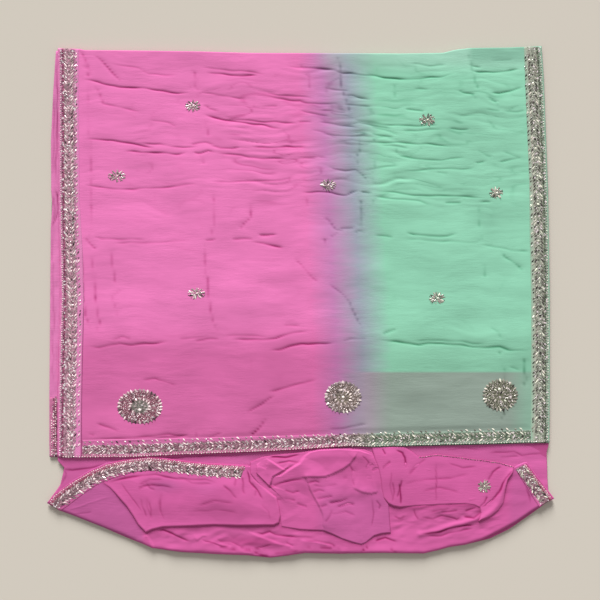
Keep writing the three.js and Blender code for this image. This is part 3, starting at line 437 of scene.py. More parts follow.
def ranged(tree, value, low, high, to_low=0.0, to_high=1.0, way="LINEAR"):
    """A value brought from between low and high to between two others, and held there."""
    made = node(tree, "ShaderNodeMapRange", in_From_Min=low, in_From_Max=high, in_To_Min=to_low, in_To_Max=to_high,
                interpolation_type=way)
    feed(tree, made.inputs["Value"], value)
    return made.outputs["Result"]


def sums(tree, operation, first, second):
    """Two values, each a socket or a number, put together by an operation."""
    made = node(tree, "ShaderNodeMath", operation=operation)
    feed(tree, made.inputs[0], first)
    feed(tree, made.inputs[1], second)
    return made.outputs[0]


def blended(tree, part, first, second, way="MIX"):
    """Two colours mixed by a share. Each of the three is a socket or a fixed value."""
    made = node(tree, "ShaderNodeMix", data_type="RGBA", blend_type=way)
    for socket, value in (("Factor", part), ("A", first), ("B", second)):
        feed(tree, made.inputs[socket], value)
    return made.outputs["Result"]


def ramped(tree, stops, value):
    """A colour by a value between 0 and 1, from stops of a position and a colour, in order."""
    ramp = node(tree, "ShaderNodeValToRGB")
    elements = ramp.color_ramp.elements
    for index, (position, colour) in enumerate(stops):
        stop = elements[index] if index < 2 else elements.new(1.0)
        stop.position, stop.color = position, colour
    feed(tree, ramp.inputs["Fac"], value)
    return ramp.outputs["Color"]


def mark_value(tree, name):
    """A value that the mesh carries at each point."""
    return node(tree, "ShaderNodeAttribute", attribute_name=name).outputs["Fac"]


def new_material(name, **values):
    """A material, its node tree and its surface node, whose sockets take the values given under their names."""
    material = bpy.data.materials.new(name)
    material.use_nodes = True
    surface = material.node_tree.nodes["Principled BSDF"]
    for socket, value in values.items():
        surface.inputs[socket.replace("_", " ")].default_value = value
    return material, material.node_tree, surface


def raise_relief(tree, surface, height, strength, distance):
    """Small bumps on a surface, from a height and how far it reaches in metres."""
    relief = node(tree, "ShaderNodeBump", in_Strength=strength, in_Distance=distance)
    tree.links.new(height, relief.inputs["Height"])
    tree.links.new(relief.outputs["Normal"], surface.inputs["Normal"])


def group_sockets(tree, inputs, outputs):
    """Named sockets of a node group: inputs of a name, a kind and a first value or None, and named outputs."""
    for name, kind, value in inputs:
        socket = tree.interface.new_socket(name, in_out="INPUT", socket_type=kind)
        if value is not None:
            socket.default_value = value
    for name, kind in outputs:
        tree.interface.new_socket(name, in_out="OUTPUT", socket_type=kind)


COLOUR, VALUE = "NodeSocketColor", "NodeSocketFloat"


def georgette_group():
    """The look that every stretch of the cloth shares: crinkle streaks along the weft, the fine weave, a slow
    unevenness of the dye, and painted shade: a deeper, darker colour by the closed mark, where creases close and
    along fold edges. It puts out a colour, a height for bumps and a roughness."""
    tree = bpy.data.node_groups.new("georgette", "ShaderNodeTree")
    group_sockets(tree, (("Dye", COLOUR, None), ("Streak", VALUE, 0.1), ("Slow", VALUE, 0.08)),
                  (("Colour", COLOUR), ("Height", VALUE), ("Rough", VALUE)))
    link = tree.links.new
    given, out = node(tree, "NodeGroupInput"), node(tree, "NodeGroupOutput")
    where = node(tree, "ShaderNodeTexCoord")

    def noise(stretch, scale, detail, rough=0.5):
        """Noise between 0 and 1, drawn out sideways by the second number of the stretch."""
        mapped = node(tree, "ShaderNodeMapping", in_Scale=stretch)
        link(where.outputs["Object"], mapped.inputs["Vector"])
        made = node(tree, "ShaderNodeTexNoise", in_Scale=scale, in_Detail=detail, in_Roughness=rough)
        link(mapped.outputs["Vector"], made.inputs["Vector"])
        return made.outputs["Fac"]

    def threads(direction):
        """Threads seen as bands across a direction, 1.2 mm from one to the next, a little bent."""
        made = node(tree, "ShaderNodeTexWave", wave_type="BANDS", bands_direction=direction, in_Scale=260,
                    in_Distortion=1.2, in_Detail=2, in_Detail_Scale=2)
        link(where.outputs["Object"], made.inputs["Vector"])
        return made.outputs["Fac"]

    patchy = ranged(tree, noise((1, 1.6, 1), 9, 2), 0.36, 0.62, 0.25, 1)
    streaks = sums(tree, "MULTIPLY", ranged(tree, noise((1, 7, 1), 36, 5, 0.62), 0.3, 0.7, -1, 1), patchy)
    fine = sums(tree, "MULTIPLY", ranged(tree, noise((1, 5, 1), 150, 3, 0.6), 0.3, 0.7, -1, 1), patchy)
    slow = ranged(tree, noise((1, 1.4, 1), 6.5, 3), 0.3, 0.7, -1, 1)
    weave = ranged(tree, sums(tree, "ADD", threads("Y"), threads("X")), 0, 2, -1, 1)
    both = sums(tree, "ADD", streaks, sums(tree, "MULTIPLY", fine, 0.5))
    tone = sums(tree, "ADD", sums(tree, "MULTIPLY", both, given.outputs["Streak"]),
                sums(tree, "MULTIPLY", slow, given.outputs["Slow"]))
    tone = sums(tree, "ADD", sums(tree, "ADD", tone, sums(tree, "MULTIPLY", weave, 0.02)), 1.0)
    toned = node(tree, "ShaderNodeVectorMath", operation="SCALE")
    link(given.outputs["Dye"], toned.inputs[0])
    link(tone, toned.inputs["Scale"])
    # Painted shade: the colour deepened and darkened by the closed mark, for the shade in creases and along fold edges.
    deep = node(tree, "ShaderNodeGamma", in_Gamma=1.5)
    darker = node(tree, "ShaderNodeVectorMath", operation="SCALE", in_Scale=0.68)
    link(toned.outputs[0], deep.inputs["Color"])
    link(deep.outputs["Color"], darker.inputs[0])
    link(blended(tree, mark_value(tree, "closed"), toned.outputs[0], darker.outputs[0]), out.inputs["Colour"])
    height = sums(tree, "ADD", sums(tree, "MULTIPLY", streaks, 0.6), sums(tree, "MULTIPLY", fine, 0.3))
    link(sums(tree, "ADD", height, sums(tree, "MULTIPLY", weave, 0.12)), out.inputs["Height"])
    link(ranged(tree, streaks, -1, 1, 0.5, 0.66), out.inputs["Rough"])
    return tree


GEORGETTE = georgette_group()


def cloth_material(name, dye, streak=0.034, slow=0.08, bump=0.26):
    """A georgette finish from a dye, which is a colour or a function that builds the colour's nodes."""
    material, tree, surface = new_material(name, Specular_IOR_Level=0.03)
    weave = node(tree, "ShaderNodeGroup", node_tree=GEORGETTE, in_Streak=streak, in_Slow=slow)
    feed(tree, weave.inputs["Dye"], dye(tree) if callable(dye) else dye)
    tree.links.new(weave.outputs["Colour"], surface.inputs["Base Color"])
    tree.links.new(weave.outputs["Rough"], surface.inputs["Roughness"])
    raise_relief(tree, surface, weave.outputs["Height"], bump, 0.0006)
    return material


# The dip dye in four colours, with the steps across at the top edge where each is purest: the pink bath, the orchid
# and the slate where the two baths run into each other, and the mint bath.
DIP_DYE = ((296, (228, 122, 182)), (319, (198, 130, 182)), (345, (158, 163, 178)), (374, (143, 205, 176)))
DIP_TOP, DIP_LOW, DIP_SHIFT = 40, 340, 17       # the meeting line moves this many steps to the right on its way down
WANDER = 2.2            # how far the meeting line strays, in steps
DULL_PINK, DULL_MINT = (234, 222, 228), (241, 240, 239)     # what the dull lower part keeps of the dye, out of 255
DULL_TOP, DULL_FULL = 312, 360      # the cloth grows dull between these places down
LINING_TOP = 372        # the end's second layer begins here, and greys the mint
PALE_LOW, PALE_TOP = 78, 56         # the mint pales between these places down, towards the fold


def dip_dye(tree):
    """Colour by place across, shifted with the place down and feathered by noise, duller below the last crease,
    greyed over the second layer behind the pallu's mint end, and paler by the fold, with painted shade darkening its
    far corner."""
    where = node(tree, "ShaderNodeTexCoord")
    split = node(tree, "ShaderNodeSeparateXYZ")
    tree.links.new(where.outputs["Object"], split.inputs[0])
    x, y = split.outputs["X"], split.outputs["Y"]

    def across_from(low, high, to_low=0.0, to_high=1.0, value=x):
        """A share that rises smoothly between two places across."""
        return ranged(tree, value, x_of(low), x_of(high), to_low, to_high, "SMOOTHSTEP")

    def down_from(low, high):
        """A share that rises smoothly between two places down the layout."""
        return ranged(tree, y, y_of(low), y_of(high), way="SMOOTHSTEP")

    def laid_over(colour, share, strength, tint):
        """A tint laid over a colour by a share and a strength."""
        return blended(tree, sums(tree, "MULTIPLY", share, strength), colour, tint)

    feather = node(tree, "ShaderNodeTexNoise", in_Scale=26, in_Detail=4, in_Roughness=0.6)
    stretched = node(tree, "ShaderNodeMapping", in_Scale=(0.5, 3.2, 1))
    tree.links.new(where.outputs["Object"], stretched.inputs["Vector"])
    tree.links.new(stretched.outputs["Vector"], feather.inputs["Vector"])
    shift = ranged(tree, y, y_of(DIP_LOW), y_of(DIP_TOP), DIP_SHIFT * STEP, 0.0)
    wander = ranged(tree, feather.outputs["Fac"], 0.25, 0.75, -WANDER * STEP, WANDER * STEP, "SMOOTHSTEP")
    at = sums(tree, "ADD", sums(tree, "SUBTRACT", x, shift), wander)
    first, last = DIP_DYE[0][0], DIP_DYE[-1][0]
    colour = ramped(tree, [((across - first) / (last - first), shade(*dye)) for across, dye in DIP_DYE],
                    ranged(tree, at, x_of(first), x_of(last)))
    kept = blended(tree, across_from(DIP_DYE[1][0], last, value=at), shade(*DULL_PINK), shade(*DULL_MINT))
    dull = blended(tree, down_from(DULL_TOP, DULL_FULL), shade(255, 255, 255), kept)
    colour = blended(tree, 1.0, colour, dull, "MULTIPLY")
    mint_end = sums(tree, "MULTIPLY", across_from(340, 372), across_from(505, 530, 1.0, 0.55))
    lining = sums(tree, "MULTIPLY", down_from(LINING_TOP - 1.5, LINING_TOP + 1.5), mint_end)
    grey = blended(tree, across_from(356, 394), shade(166, 142, 162), shade(141, 151, 143))
    colour = laid_over(colour, lining, 0.9, grey)
    faded = sums(tree, "MULTIPLY", down_from(PALE_LOW, PALE_TOP), across_from(308, 336))
    colour = laid_over(colour, faded, 0.35, shade(180, 208, 198))
    # Painted shade: the far corner by the fold, darkened towards a deep green.
    corner = sums(tree, "MULTIPLY", down_from(68, PALE_TOP), across_from(466, 474))
    return laid_over(colour, corner, 0.45, shade(104, 164, 138))


PALLU_WIDE, PALLU_DEEP = 484, 408       # the pallu's rough size in steps, which spaces its columns and rows


def row_places():
    """Places down the pallu as shares, closest together where the cloth is most crinkled."""
    return np.concatenate([np.arange(206) / 206 * 162, 162 + np.arange(113) / 113 * 118,
                           280 + np.arange(118) / 117 * 128]) / PALLU_DEEP


def pallu_points():
    """The outer face: down the layout between the top fold and the end, across between the selvedges. Extra rows
    and columns round the fold over and turn the hems."""
    ends = np.array([0, .12, .35, .7])
    inner = np.linspace(1.3, PALLU_WIDE - 1.3, 200)
    share = np.concatenate([ends, inner, PALLU_WIDE - ends[::-1]]) / PALLU_WIDE
    fold = np.array([0, .12, .45, 1, 1.8, 2.8, 3.8]) / PALLU_DEEP
    hem = 1 - np.array([.7, .35, .12, 0]) / PALLU_DEEP
    middle_rows = row_places()
    middle_rows = middle_rows[(middle_rows > 4.6 / PALLU_DEEP) & (middle_rows < 1 - 1.1 / PALLU_DEEP)]
    part = np.concatenate([fold, middle_rows, hem])
    down_near = 50 + 405 * part[:, None]
    left, right = along(PALLU_LEFT, down_near), along(PALLU_RIGHT, down_near)
    across = left + (right - left) * share[None, :]
    top, end = along(PALLU_TOP, across), along(PALLU_END, across)
    down = top + (end - top) * part[:, None]
    height, closed = pallu_height(across, down)
    return place(across, down, height), closed


PALLU_CLOTH = cloth_material("pallu_georgette", dip_dye)
outer, closed = pallu_points()
pallu = padded_sheet("pallu_cloth", outer, PALLU_CLOTH, {"closed": closed}, 0.012, PALLU_UNDER)
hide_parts("pallu")


# ---------- Folded layers ----------
# The hidden layers of the folded saree: six thicknesses of the same georgette, whose folded edges show as lips
# all round. Each lip is one layer turned over, a little in or out of the one above it.
STACK_OUTLINE = (
    (57.6, 52), (57.8, 120), (58, 200), (59.6, 300), (58.2, 350), (57.2, 400), (57, 455), (58, 461), (64, 468),
    (62.6, 474), (60, 485), (56, 491), (50, 499), (48, 503), (57, 510.4), (75, 517), (100, 526.4), (130, 539.4),
    (152, 548.4), (200, 552.8), (240, 555.2), (270, 557.6), (290, 555.4), (305, 553.2), (340, 553.2), (380, 552.9),
    (420, 553.8), (440, 549.4), (470, 544.2), (490, 539.3), (510, 529.4), (530, 515.4), (545, 504.6), (553, 499),
    (549, 492.5), (548, 480), (547, 452), (549, 446), (549.2, 400), (549.2, 300), (547.6, 200), (546.2, 160),
    (543.2, 80), (541, 52), (541, 47.6), (510, 48.6), (470, 49.2), (455, 51), (443, 54), (400, 54.6), (330, 54.4),
    (250, 54), (200, 52.6), (130, 51.6), (84, 51.2), (80, 50), (58, 49.4),
)
LIPS, TURNS = 6, 5      # lips round the stack, and points up each one


def layer_edges():
    """The outline, walked once round in even steps, carrying a profile of one half-round bulge for each layer. Each
    layer draws in and out along the way by its own drift, the profile's height follows what lies on it, and the two
    lowest layers stand out as a shelf along the left."""
    corners = np.array(STACK_OUTLINE, float)
    closed_line = np.concatenate([corners, corners[:1]])
    lengths = np.hypot(*np.diff(closed_line, axis=0).T)
    reached = np.concatenate([[0], np.cumsum(lengths)])
    steps = 900     # places round the outline
    walk = np.linspace(0, reached[-1], steps, endpoint=False)
    across = np.interp(walk, reached, closed_line[:, 0])
    down = np.interp(walk, reached, closed_line[:, 1])
    ahead = np.stack([np.roll(across, -2) - np.roll(across, 2), np.roll(down, -2) - np.roll(down, 2)], axis=-1)
    ahead /= np.linalg.norm(ahead, axis=1, keepdims=True)
    out_a, out_d = -ahead[:, 1], ahead[:, 0]
    lower = eased((down - 448) / 26)
    top = 7.7 - 2.4 * lower
    shelf = 7.2 * eased((60 - across) / 2) * eased((452 - down) / 5) * eased((down - 50) / 6)
    shelf *= along(((50, .35), (90, .75), (140, 1), (200, 1), (300, 1.25), (460, 1.2)), down)
    profile = []
    for layer in range(LIPS):
        wander = 0.28 * drift(walk, walk * 0 + layer * 7, 30, 1, 20 + layer) - 0.35 * (layer % 2)
        reach = np.where(layer < 2, shelf, 0.0) + wander - 0.55
        for turn in np.linspace(0.12, 0.88, TURNS):
            bulge = 0.62 * math.sin(math.pi * turn)
            stepped = (layer + turn) / 2 * 3.0 if layer < 2 else 3.1 + (layer - 2 + turn) / 4 * 4.6
            level = np.where(shelf > 1, stepped, (layer + turn) / LIPS * top)
            push = reach + bulge
            profile.append(np.stack([across + out_a * push, down + out_d * push, level], axis=-1))
    rows = np.stack(profile)
    rows[0, :, 2] = 0
    return rows


def folded_layers_piece():
    """The walked profile closed by a flat underside and by a face over the hidden middle."""
    rows = layer_edges()
    count, steps = rows.shape[:2]
    points = place(rows[..., 0], rows[..., 1], rows[..., 2])
    ring = np.arange(count * steps).reshape(count, steps)
    after = np.roll(ring, -1, axis=1)
    walls = np.stack([ring[:-1], after[:-1], after[1:], ring[1:]], axis=-1).reshape(-1, 4)
    centre = place(np.array([300.0, 300.0]), np.array([300.0, 300.0]), np.array([0.0, 7.9]))
    points = np.concatenate([points.reshape(-1, 3), centre])
    low, high = len(points) - 2, len(points) - 1
    below = np.stack([after[0], ring[0], np.full(steps, low)], axis=-1)
    above = np.stack([ring[-1], after[-1], np.full(steps, high)], axis=-1)
    # Every other layer's lips carry the closed mark: painted shade that sets each lip apart from the next.
    layer = np.repeat(np.arange(count) // TURNS % 2, steps)
    marks = {"closed": np.concatenate([0.35 * layer, [0, 0]])}
    return make_piece("folded_layers_edges", points, [walls, below, above], FOLDED_CLOTH, marks=marks)


FOLDED_CLOTH = cloth_material("folded_georgette", shade(206, 98, 158))
layers = folded_layers_piece()
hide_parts("folded_layers")


# ---------- Under layer ----------
# The selvedge of the layer below, which shows in a narrow strip along the left of the pallu: the same georgette,
# in plain pink, with a few long folds down it. It lies on the stack, and its inner side goes in under the pallu.
UNDER_LEFT = ((46, 55.5), (60, 54.5), (90, 52.5), (140, 50.2), (190, 50.4), (203, 51.4), (212, 51), (228, 50),
              (300, 49.4), (400, 48.6), (460, 48.8))
UNDER_CREASES = (
    (1, 3, (55.4, 188, 57.4, 198, 58, 205, 57, 212, 53.6, 222, 51.4, 229)),
    (.9, 2, (56.4, 56, 57, 84, 56.4, 120, 55.4, 160, 55, 186)),
    (.5, 2, (52, 232, 53, 300, 52, 390)),
    (.6, 1.5, (53.6, 95, 53, 130, 52.6, 176)),
    (.6, 2, (53, 196, 54, 208, 52.6, 222)),
    (.5, 1.5, (51.4, 250, 52.4, 262)),
    (.5, 1.5, (51, 330, 53.4, 338)),
)


def under_layer_piece():
    """A long strip, 240 rows down and 12 across from its own edge to just under the pallu, rounded at the edge."""
    part = np.linspace(0, 1, 240)[:, None]
    share = np.array([0, .03, .08, .16, .26, .38, .5, .62, .74, .85, .94, 1])[None, :]
    down = 50 + 407.5 * part + 0 * share
    left = along(UNDER_LEFT, down)
    across = left + (along(PALLU_LEFT, down) + 2.2 - left) * share
    cut, closed = creases_at(UNDER_CREASES, across, down)
    height = 5.3 + 1.1 * drift(across, down, 3.2, 19, 31) + 0.6 * drift(across, down, 1.8, 8, 32) - 0.7 * cut
    turn = np.clip((across - left) / 0.8, 0, 1)
    ends = np.clip(np.minimum(down - 50, 457.5 - down) / 0.9, 0, 1)
    height = 3.3 + (height - 3.3) * quarter(turn) * quarter(ends)
    # The creases' closed share goes on as the closed mark: painted shade in the creases.
    return padded_sheet("under_layer_cloth", place(across, down, height), UNDER_CLOTH, {"closed": closed * 0.8},
                        0.004, 3.2)


UNDER_CLOTH = cloth_material("under_georgette", shade(217, 124, 178))
under = under_layer_piece()
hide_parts("under_layer")


# ---------- Lower stretch, ground ----------
# The layer of pink georgette that lies flat below the pallu's end and shows at both ends, under the loose flap.
# It is one cloth from selvedge to selvedge, though the flap hides its middle.
GROUND_TOP = ((55, 450), (550, 436))
GROUND_LOW = ((52, 492), (64, 500), (160, 512), (300, 520), (430, 512), (530, 500), (549, 496))
GROUND_LEFT = ((436, 57.2), (461, 57.2), (468, 63.6), (473, 62.8), (485, 60), (490, 56.4), (496, 53), (530, 53))
GROUND_RIGHT = ((436, 549.6), (443, 549), (452, 547), (480, 548), (493, 549), (530, 549))
GROUND_CREASES = (
    (1, 4, (60, 469, 72, 470, 98, 467, 120, 462)),
    (.6, 2, (64.5, 469, 65.5, 474, 62.5, 483, 57, 488)),
    (.9, 3, (98, 460.5, 130, 460.5, 200, 456.5, 250, 455)),
    (.7, 3, (487, 453.3, 499, 452.5, 514, 451.5, 522, 455.8, 532, 454, 547, 451.6)),
    (.5, 3, (499, 457, 520, 456.5)),
    (.4, 4, (440, 450, 470, 448.5, 484, 450.5)),
)


def ground_piece():
    """A sheet between four lines, wide and shallow, with its selvedges at the two ends."""
    part = np.linspace(0, 1, 70)[:, None]
    share = np.concatenate([[0, .0008, .002], np.linspace(.004, .996, 420), [.998, .9992, 1]])[None, :]
    across_near = 55 + 494 * share + 0 * part
    down = along(GROUND_TOP, across_near) * (1 - part) + along(GROUND_LOW, across_near) * part
    left, right = along(GROUND_LEFT, down), along(GROUND_RIGHT, down)
    across = left + (right - left) * share
    cut, closed = creases_at(GROUND_CREASES, across, down)
    height = 7.0 + 0.5 * drift(across, down, 30, 9, 41) + 0.3 * drift(across, down, 12, 4, 42) - 0.35 * cut
    side = np.clip(np.minimum(across - left, right - across) / 0.9, 0, 1)
    height = 5.6 + (height - 5.6) * quarter(side)
    # The creases' closed share goes on as the closed mark: painted shade in the creases.
    return padded_sheet("lower_ground_cloth", place(across, down, height), LOWER_CLOTH, {"closed": closed * 0.8},
                        0.003, 5.4)


LOWER_CLOTH = cloth_material("lower_georgette", shade(202, 97, 157), streak=0.025, slow=0.09, bump=0.24)
ground = ground_piece()
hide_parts("tail_ground_left", "tail_ground_right")


# ---------- Lower stretch, turned-up flap ----------
# The free edge of the saree, turned up over the ground and left crumpled. One cloth, shown in the stretches
# between its folds: first the sheet whose bottom fold is the outline, from the left tip to the right tip.
FLAP_TOP = ((47, 502.6), (50, 499.2), (56.6, 492.4), (73.2, 480), (89.8, 470.2), (106.3, 462.8), (122.9, 460.5),
            (150, 462), (250, 466), (300, 462), (400, 462), (440, 464), (506, 476), (514, 467.6), (522, 463.6),
            (526.6, 461.8), (540, 479.6), (554, 498))
FLAP_LOW = ((47, 503.6), (57, 510.2), (75, 517), (90, 523), (123, 535.8), (152, 548.8), (181, 552.8), (216, 554.8),
            (247, 556), (270, 558.4), (285, 556.6), (305, 553.7), (340, 554.4), (383, 553.6), (424, 554.2),
            (438, 551), (449, 547.8), (466, 545.3), (482, 540.3), (499, 532), (516, 523), (532, 512), (539, 508),
            (554, 498.8))
# Free edges of the three folds that lie on the flap; the flap is painted with shade along them, where they overhang it.
PILLOW_BOTTOM = (145.8, 533, 152.8, 529.8, 162.7, 527.4, 189.3, 526.4, 214, 525.2, 239, 526, 262, 525.6, 274, 525.6,
                 279.5, 523)
PILLOW_LEFT = (96, 469, 103.8, 484, 109.7, 488, 114.6, 493, 119.6, 498.9, 126.2, 506.3, 132.9, 516.3, 137.8, 524.6,
               145.8, 533)
CRUMPLE_BOTTOM = (281, 527, 300, 530, 323.2, 531, 333, 534.8, 341.5, 539, 351.4, 542.3, 361.4, 545, 366.3, 542.8,
                  374.6, 536, 381.3, 534, 391, 533)
RIGHT_RIGHT = (514.5, 466.4, 513, 473, 508, 480, 505.6, 491.4, 504, 503, 499, 510.5, 490.7, 517, 478, 521.5)
RIGHT_BOTTOM = (387.9, 503.8, 392.9, 506.3, 399.5, 507.7, 416, 506.3, 432.7, 505.5, 449.3, 504.7, 465.8, 504.3,
                474, 505.5, 479.5, 508, 480.5, 513, 478, 521.5)
FLAP_CREASES = (
    (.9, 3, (156, 531.2, 162.7, 530.4, 172.7, 533.7, 181, 537.8, 192.6, 541.2)),
    (.9, 3, (200, 538.5, 205.8, 541.2, 214, 542.8, 222.4, 546.1, 230.7, 548.6, 239, 550.3)),
    (.8, 3, (215, 538, 220.8, 541.2, 230.7, 542.8, 239, 545.3, 247.3, 548.6, 255.6, 554)),
    (.8, 6, (218, 547, 236, 550, 254, 549, 276, 543)),
    (.8, 3, (251, 550, 255.6, 553, 262.2, 556, 270, 557)),
    (.8, 3, (252.3, 532, 262.2, 533.7, 270.5, 531.2, 275.5, 534.5, 285.4, 535.4, 300, 536.2, 318, 538)),
    (.5, 3, (285.4, 541, 293.7, 545.5)),
    (.5, 3, (272.2, 554, 285.4, 552.8, 300, 550.3)),
    (.7, 4, (300, 540, 316.6, 541.5, 331.5, 544.8, 341.5, 549)),
    (.6, 3, (319, 547, 333, 548.8)),
    (.5, 3, (303, 545.5, 312, 549)),
    (.8, 3, (361.4, 553, 369.7, 544)),
    (1, 5, (374, 541, 385, 538, 398, 541)),
    (.6, 3, (389.6, 547.8, 397.8, 553.5)),
    (.5, 5, (386.2, 508, 387, 519.6, 388, 531)),
    (.6, 3, (393, 516, 400, 519, 406, 516)),
    (.4, 3, (398, 523, 404, 519)),
    (1, 4, (419.4, 534.5, 429.4, 533.7, 441, 531.2, 449.3, 528.7, 465.8, 525.4, 476.6, 524.6)),
    (.6, 3, (424, 536.5, 442, 535, 459, 531.5, 475.8, 527.5)),
    (.5, 4, (414.4, 509, 416, 516, 419.4, 520)),
    (.6, 3, (421, 517, 432.7, 519.6, 442.6, 516.3, 456, 519.6, 462, 515.5)),
    (.5, 3, (441, 513, 459, 510)),
    (.8, 3, (462.5, 516.3, 474, 518, 484, 512)),
    (.7, 3, (464, 511.5, 474, 509, 478, 508)),
    (.4, 4, (430, 512, 452, 508)),
    (-.5, 6, (66, 512, 78, 507, 96, 501, 112, 496)),
    (.5, 3, (74, 516, 84, 513, 92, 511)),
    (.5, 5, (521, 474, 527, 488, 531, 506)),
)
FLAP_LAPS = (
    (2.2, 14, (155, 550, 150, 541, 146, 533.6)),
    (1.2, 4, (196, 541, 202.5, 536, 207, 536)),
    (1.6, 5, (262, 556, 240, 549, 222, 544.5, 208, 541)),
    (1.5, 4, (300, 548, 280, 544, 258, 536, 246, 531)),
    (1.6, 5, (350, 551, 330, 545, 312, 541, 298, 540)),
)
FLAP_CORD = (489, 511, 480, 517.5, 468, 521.5, 452, 526, 436, 531.5, 420, 534)


def laps_at(table, across, down):
    """How high laps lift the cloth, in millimetres: by a rise along the left hand of each line's travel, falling
    off as exp(-distance / reach), and dropping within half a step on its right."""
    lifted = np.zeros(across.shape)
    for rise, reach, line in table:
        away, side, travel = to_line(line, across, down)
        fade = eased(travel / 0.12) * eased((1 - travel) / 0.12)
        lifted += rise * fade * np.where(side > 0, np.exp(-away / reach), np.exp(-(away / 0.5) ** 2))
    return lifted


def facets(across, down, cell_across, cell_down, turn, seed):
    """Crumpled height from -1 to 1: flat facets that meet in folds, on a lattice turned by an angle and bent."""
    bent_a = across + 0.4 * cell_across * drift(across, down, 1.3 * cell_across, 1.3 * cell_down, seed + 1)
    bent_d = down + 0.4 * cell_down * drift(across, down, 1.3 * cell_across, 1.3 * cell_down, seed + 2)
    cos, sin = math.cos(turn), math.sin(turn)
    return drift(bent_a * cos + bent_d * sin, bent_d * cos - bent_a * sin, cell_across, cell_down, seed,
                 ease=lambda part: part)


def flap_height(across, down):
    """Outer height of the turned-up flap: loose crumples, its creases, where one fold lies on another, and the roll
    of its bottom fold. With it comes its painted shade: the creases' closed share, a darker band low in the middle,
    and painted shade along the free edges of the folds that lie on it."""
    crushed = (0.7 + 0.9 * eased((across - 385) / 15) * eased((505 - across) / 15) * eased((540 - down) / 12)
               + 0.8 * eased((across - 150) / 20) * eased((310 - across) / 20) * eased((down - 527) / 5))
    loose = (10.0 + 0.8 * drift(across, down, 34, 12, 51) + crushed * 1.1 * facets(across, down, 20, 6.5, 0.12, 52)
             + crushed * 0.6 * facets(across, down, 9, 4, -0.3, 56))
    cut, closed = creases_at(FLAP_CREASES, across, down)
    calm = 0.3 + 0.7 * eased((across - 128) / 30) * (1 - 0.6 * eased((across - 500) / 14))
    cord = 2.4 * np.exp(-(to_line(FLAP_CORD, across, down)[0] / 2.6) ** 2)
    roll = cord + 2.8 * np.exp(-np.maximum(along(FLAP_LOW, across) - down, 0) / 7) * eased((across - 130) / 60)
    height = 9.0 + (loose - 9.0) * calm - 0.7 * cut + laps_at(FLAP_LAPS, across, down) + roll
    # A darker band low in the middle, and painted shade along each fold's free edge, fading away from it.
    deep = 0.5 * np.exp(-((across - 250) / 36) ** 2 - ((down - 542) / 6) ** 2)
    for share, reach, line in ((.5, 2.6, PILLOW_BOTTOM), (.45, 1.2, PILLOW_LEFT), (.45, 2.2, CRUMPLE_BOTTOM),
                               (.5, 2.6, RIGHT_BOTTOM), (.35, 2, RIGHT_RIGHT)):
        deep = np.maximum(deep, share * np.exp(-to_line(line, across, down)[0] / reach))
    return np.maximum(height, 7.9), np.maximum(closed, deep)


def flap_piece():
    """The sheet between the flap's upper and lower edge lines. Its lower edge is a fold, rounded over 4 steps, and
    its upper edge and tips are thin hems. The turned mark, 1 at the left, shows the cloth's dull wrong side."""
    part = np.concatenate([[0, .006, .014, .025], np.linspace(.04, .9, 84), [.93, .955, .975, .988, .996, 1]])[:, None]
    share = np.linspace(0, 1, 470)[None, :]
    across = 47 + 507 * share + 0 * part
    top, low = along(FLAP_TOP, across), along(FLAP_LOW, across)
    down = top + (low - top) * part
    height, closed = flap_height(across, down)
    rounded = 3.6 * eased((low - top) / 20) + 0.4
    fold = np.clip((low - down) / rounded, 0, 1)
    height = 3.0 + (height - 3.0) * quarter(fold)
    hem = np.clip((down - top) / 0.8, 0, 1)
    height = np.where(height > 7.6, 7.6 + (height - 7.6) * quarter(hem), height)
    turned = eased((146 - across) / 6) + 0.6 * eased((across - 505) / 10)
    return padded_sheet("flap_cloth", place(across, down, height), FLAP_CLOTH, {"closed": closed, "turned": turned},
                        0.01, 7.5)


def two_sided_dye(tree):
    """Deep pink on the right side of the cloth and a duller lilac pink on its wrong side."""
    return blended(tree, mark_value(tree, "turned"), shade(203, 94, 155), shade(187, 93, 150))


FLAP_CLOTH = cloth_material("flap_georgette", two_sided_dye, streak=0.025, slow=0.1, bump=0.24)
flap = flap_piece()
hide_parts("tail_left_flap", "tail_right_corner")


# ---------- Lower stretch, the three raised folds ----------
# Where the flap's cloth doubles up it stands in puffs: a pillow under the border, a crumple in the middle, and a
# flat fold at the right that rolls over at its end. Each is a sheet between four edge lines.
def even_points(line, shares):
    """Points along a line at shares of its length."""
    points = np.array(line, float).reshape(-1, 2)
    reached = np.concatenate([[0], np.cumsum(np.hypot(*np.diff(points, axis=0).T))])
    at = np.asarray(shares) * reached[-1]
    return np.stack([np.interp(at, reached, points[:, 0]), np.interp(at, reached, points[:, 1])], axis=-1)


def between(top, right, bottom, left, rows, columns):
    """A grid of places blended from its four edge lines (a Coons patch), closest together along the edges."""
    def spaced(count):
        """Shares from 0 to 1, drawn towards both ends by a sine."""
        even = np.linspace(0, 1, count)
        return even - 0.75 * np.sin(2 * np.pi * even) / (2 * np.pi)

    share, part = spaced(columns), spaced(rows)
    upper, lower = even_points(top, share)[None], even_points(bottom, share)[None]
    west, east = even_points(left, part)[:, None], even_points(right, part)[:, None]
    s, t = share[None, :, None], part[:, None, None]
    corners = ((1 - s) * (1 - t) * upper[:, :1] + s * (1 - t) * upper[:, -1:]
               + (1 - s) * t * lower[:, :1] + s * t * lower[:, -1:])
    grid = (1 - t) * upper + t * lower + (1 - s) * west + s * east - corners
    return grid[..., 0], grid[..., 1]


NORTH, NORTH_REACH = 0.55, 9        # share of its height that a fold keeps along its top line, and how far in


def closed_outline(sides):
    """One closed line of places from the top, right, bottom and left edge lines of a fold."""
    top, right, bottom, left = (np.array(side, float).reshape(-1, 2) for side in sides)
    return np.concatenate([top, right, bottom[::-1], left[::-1]])


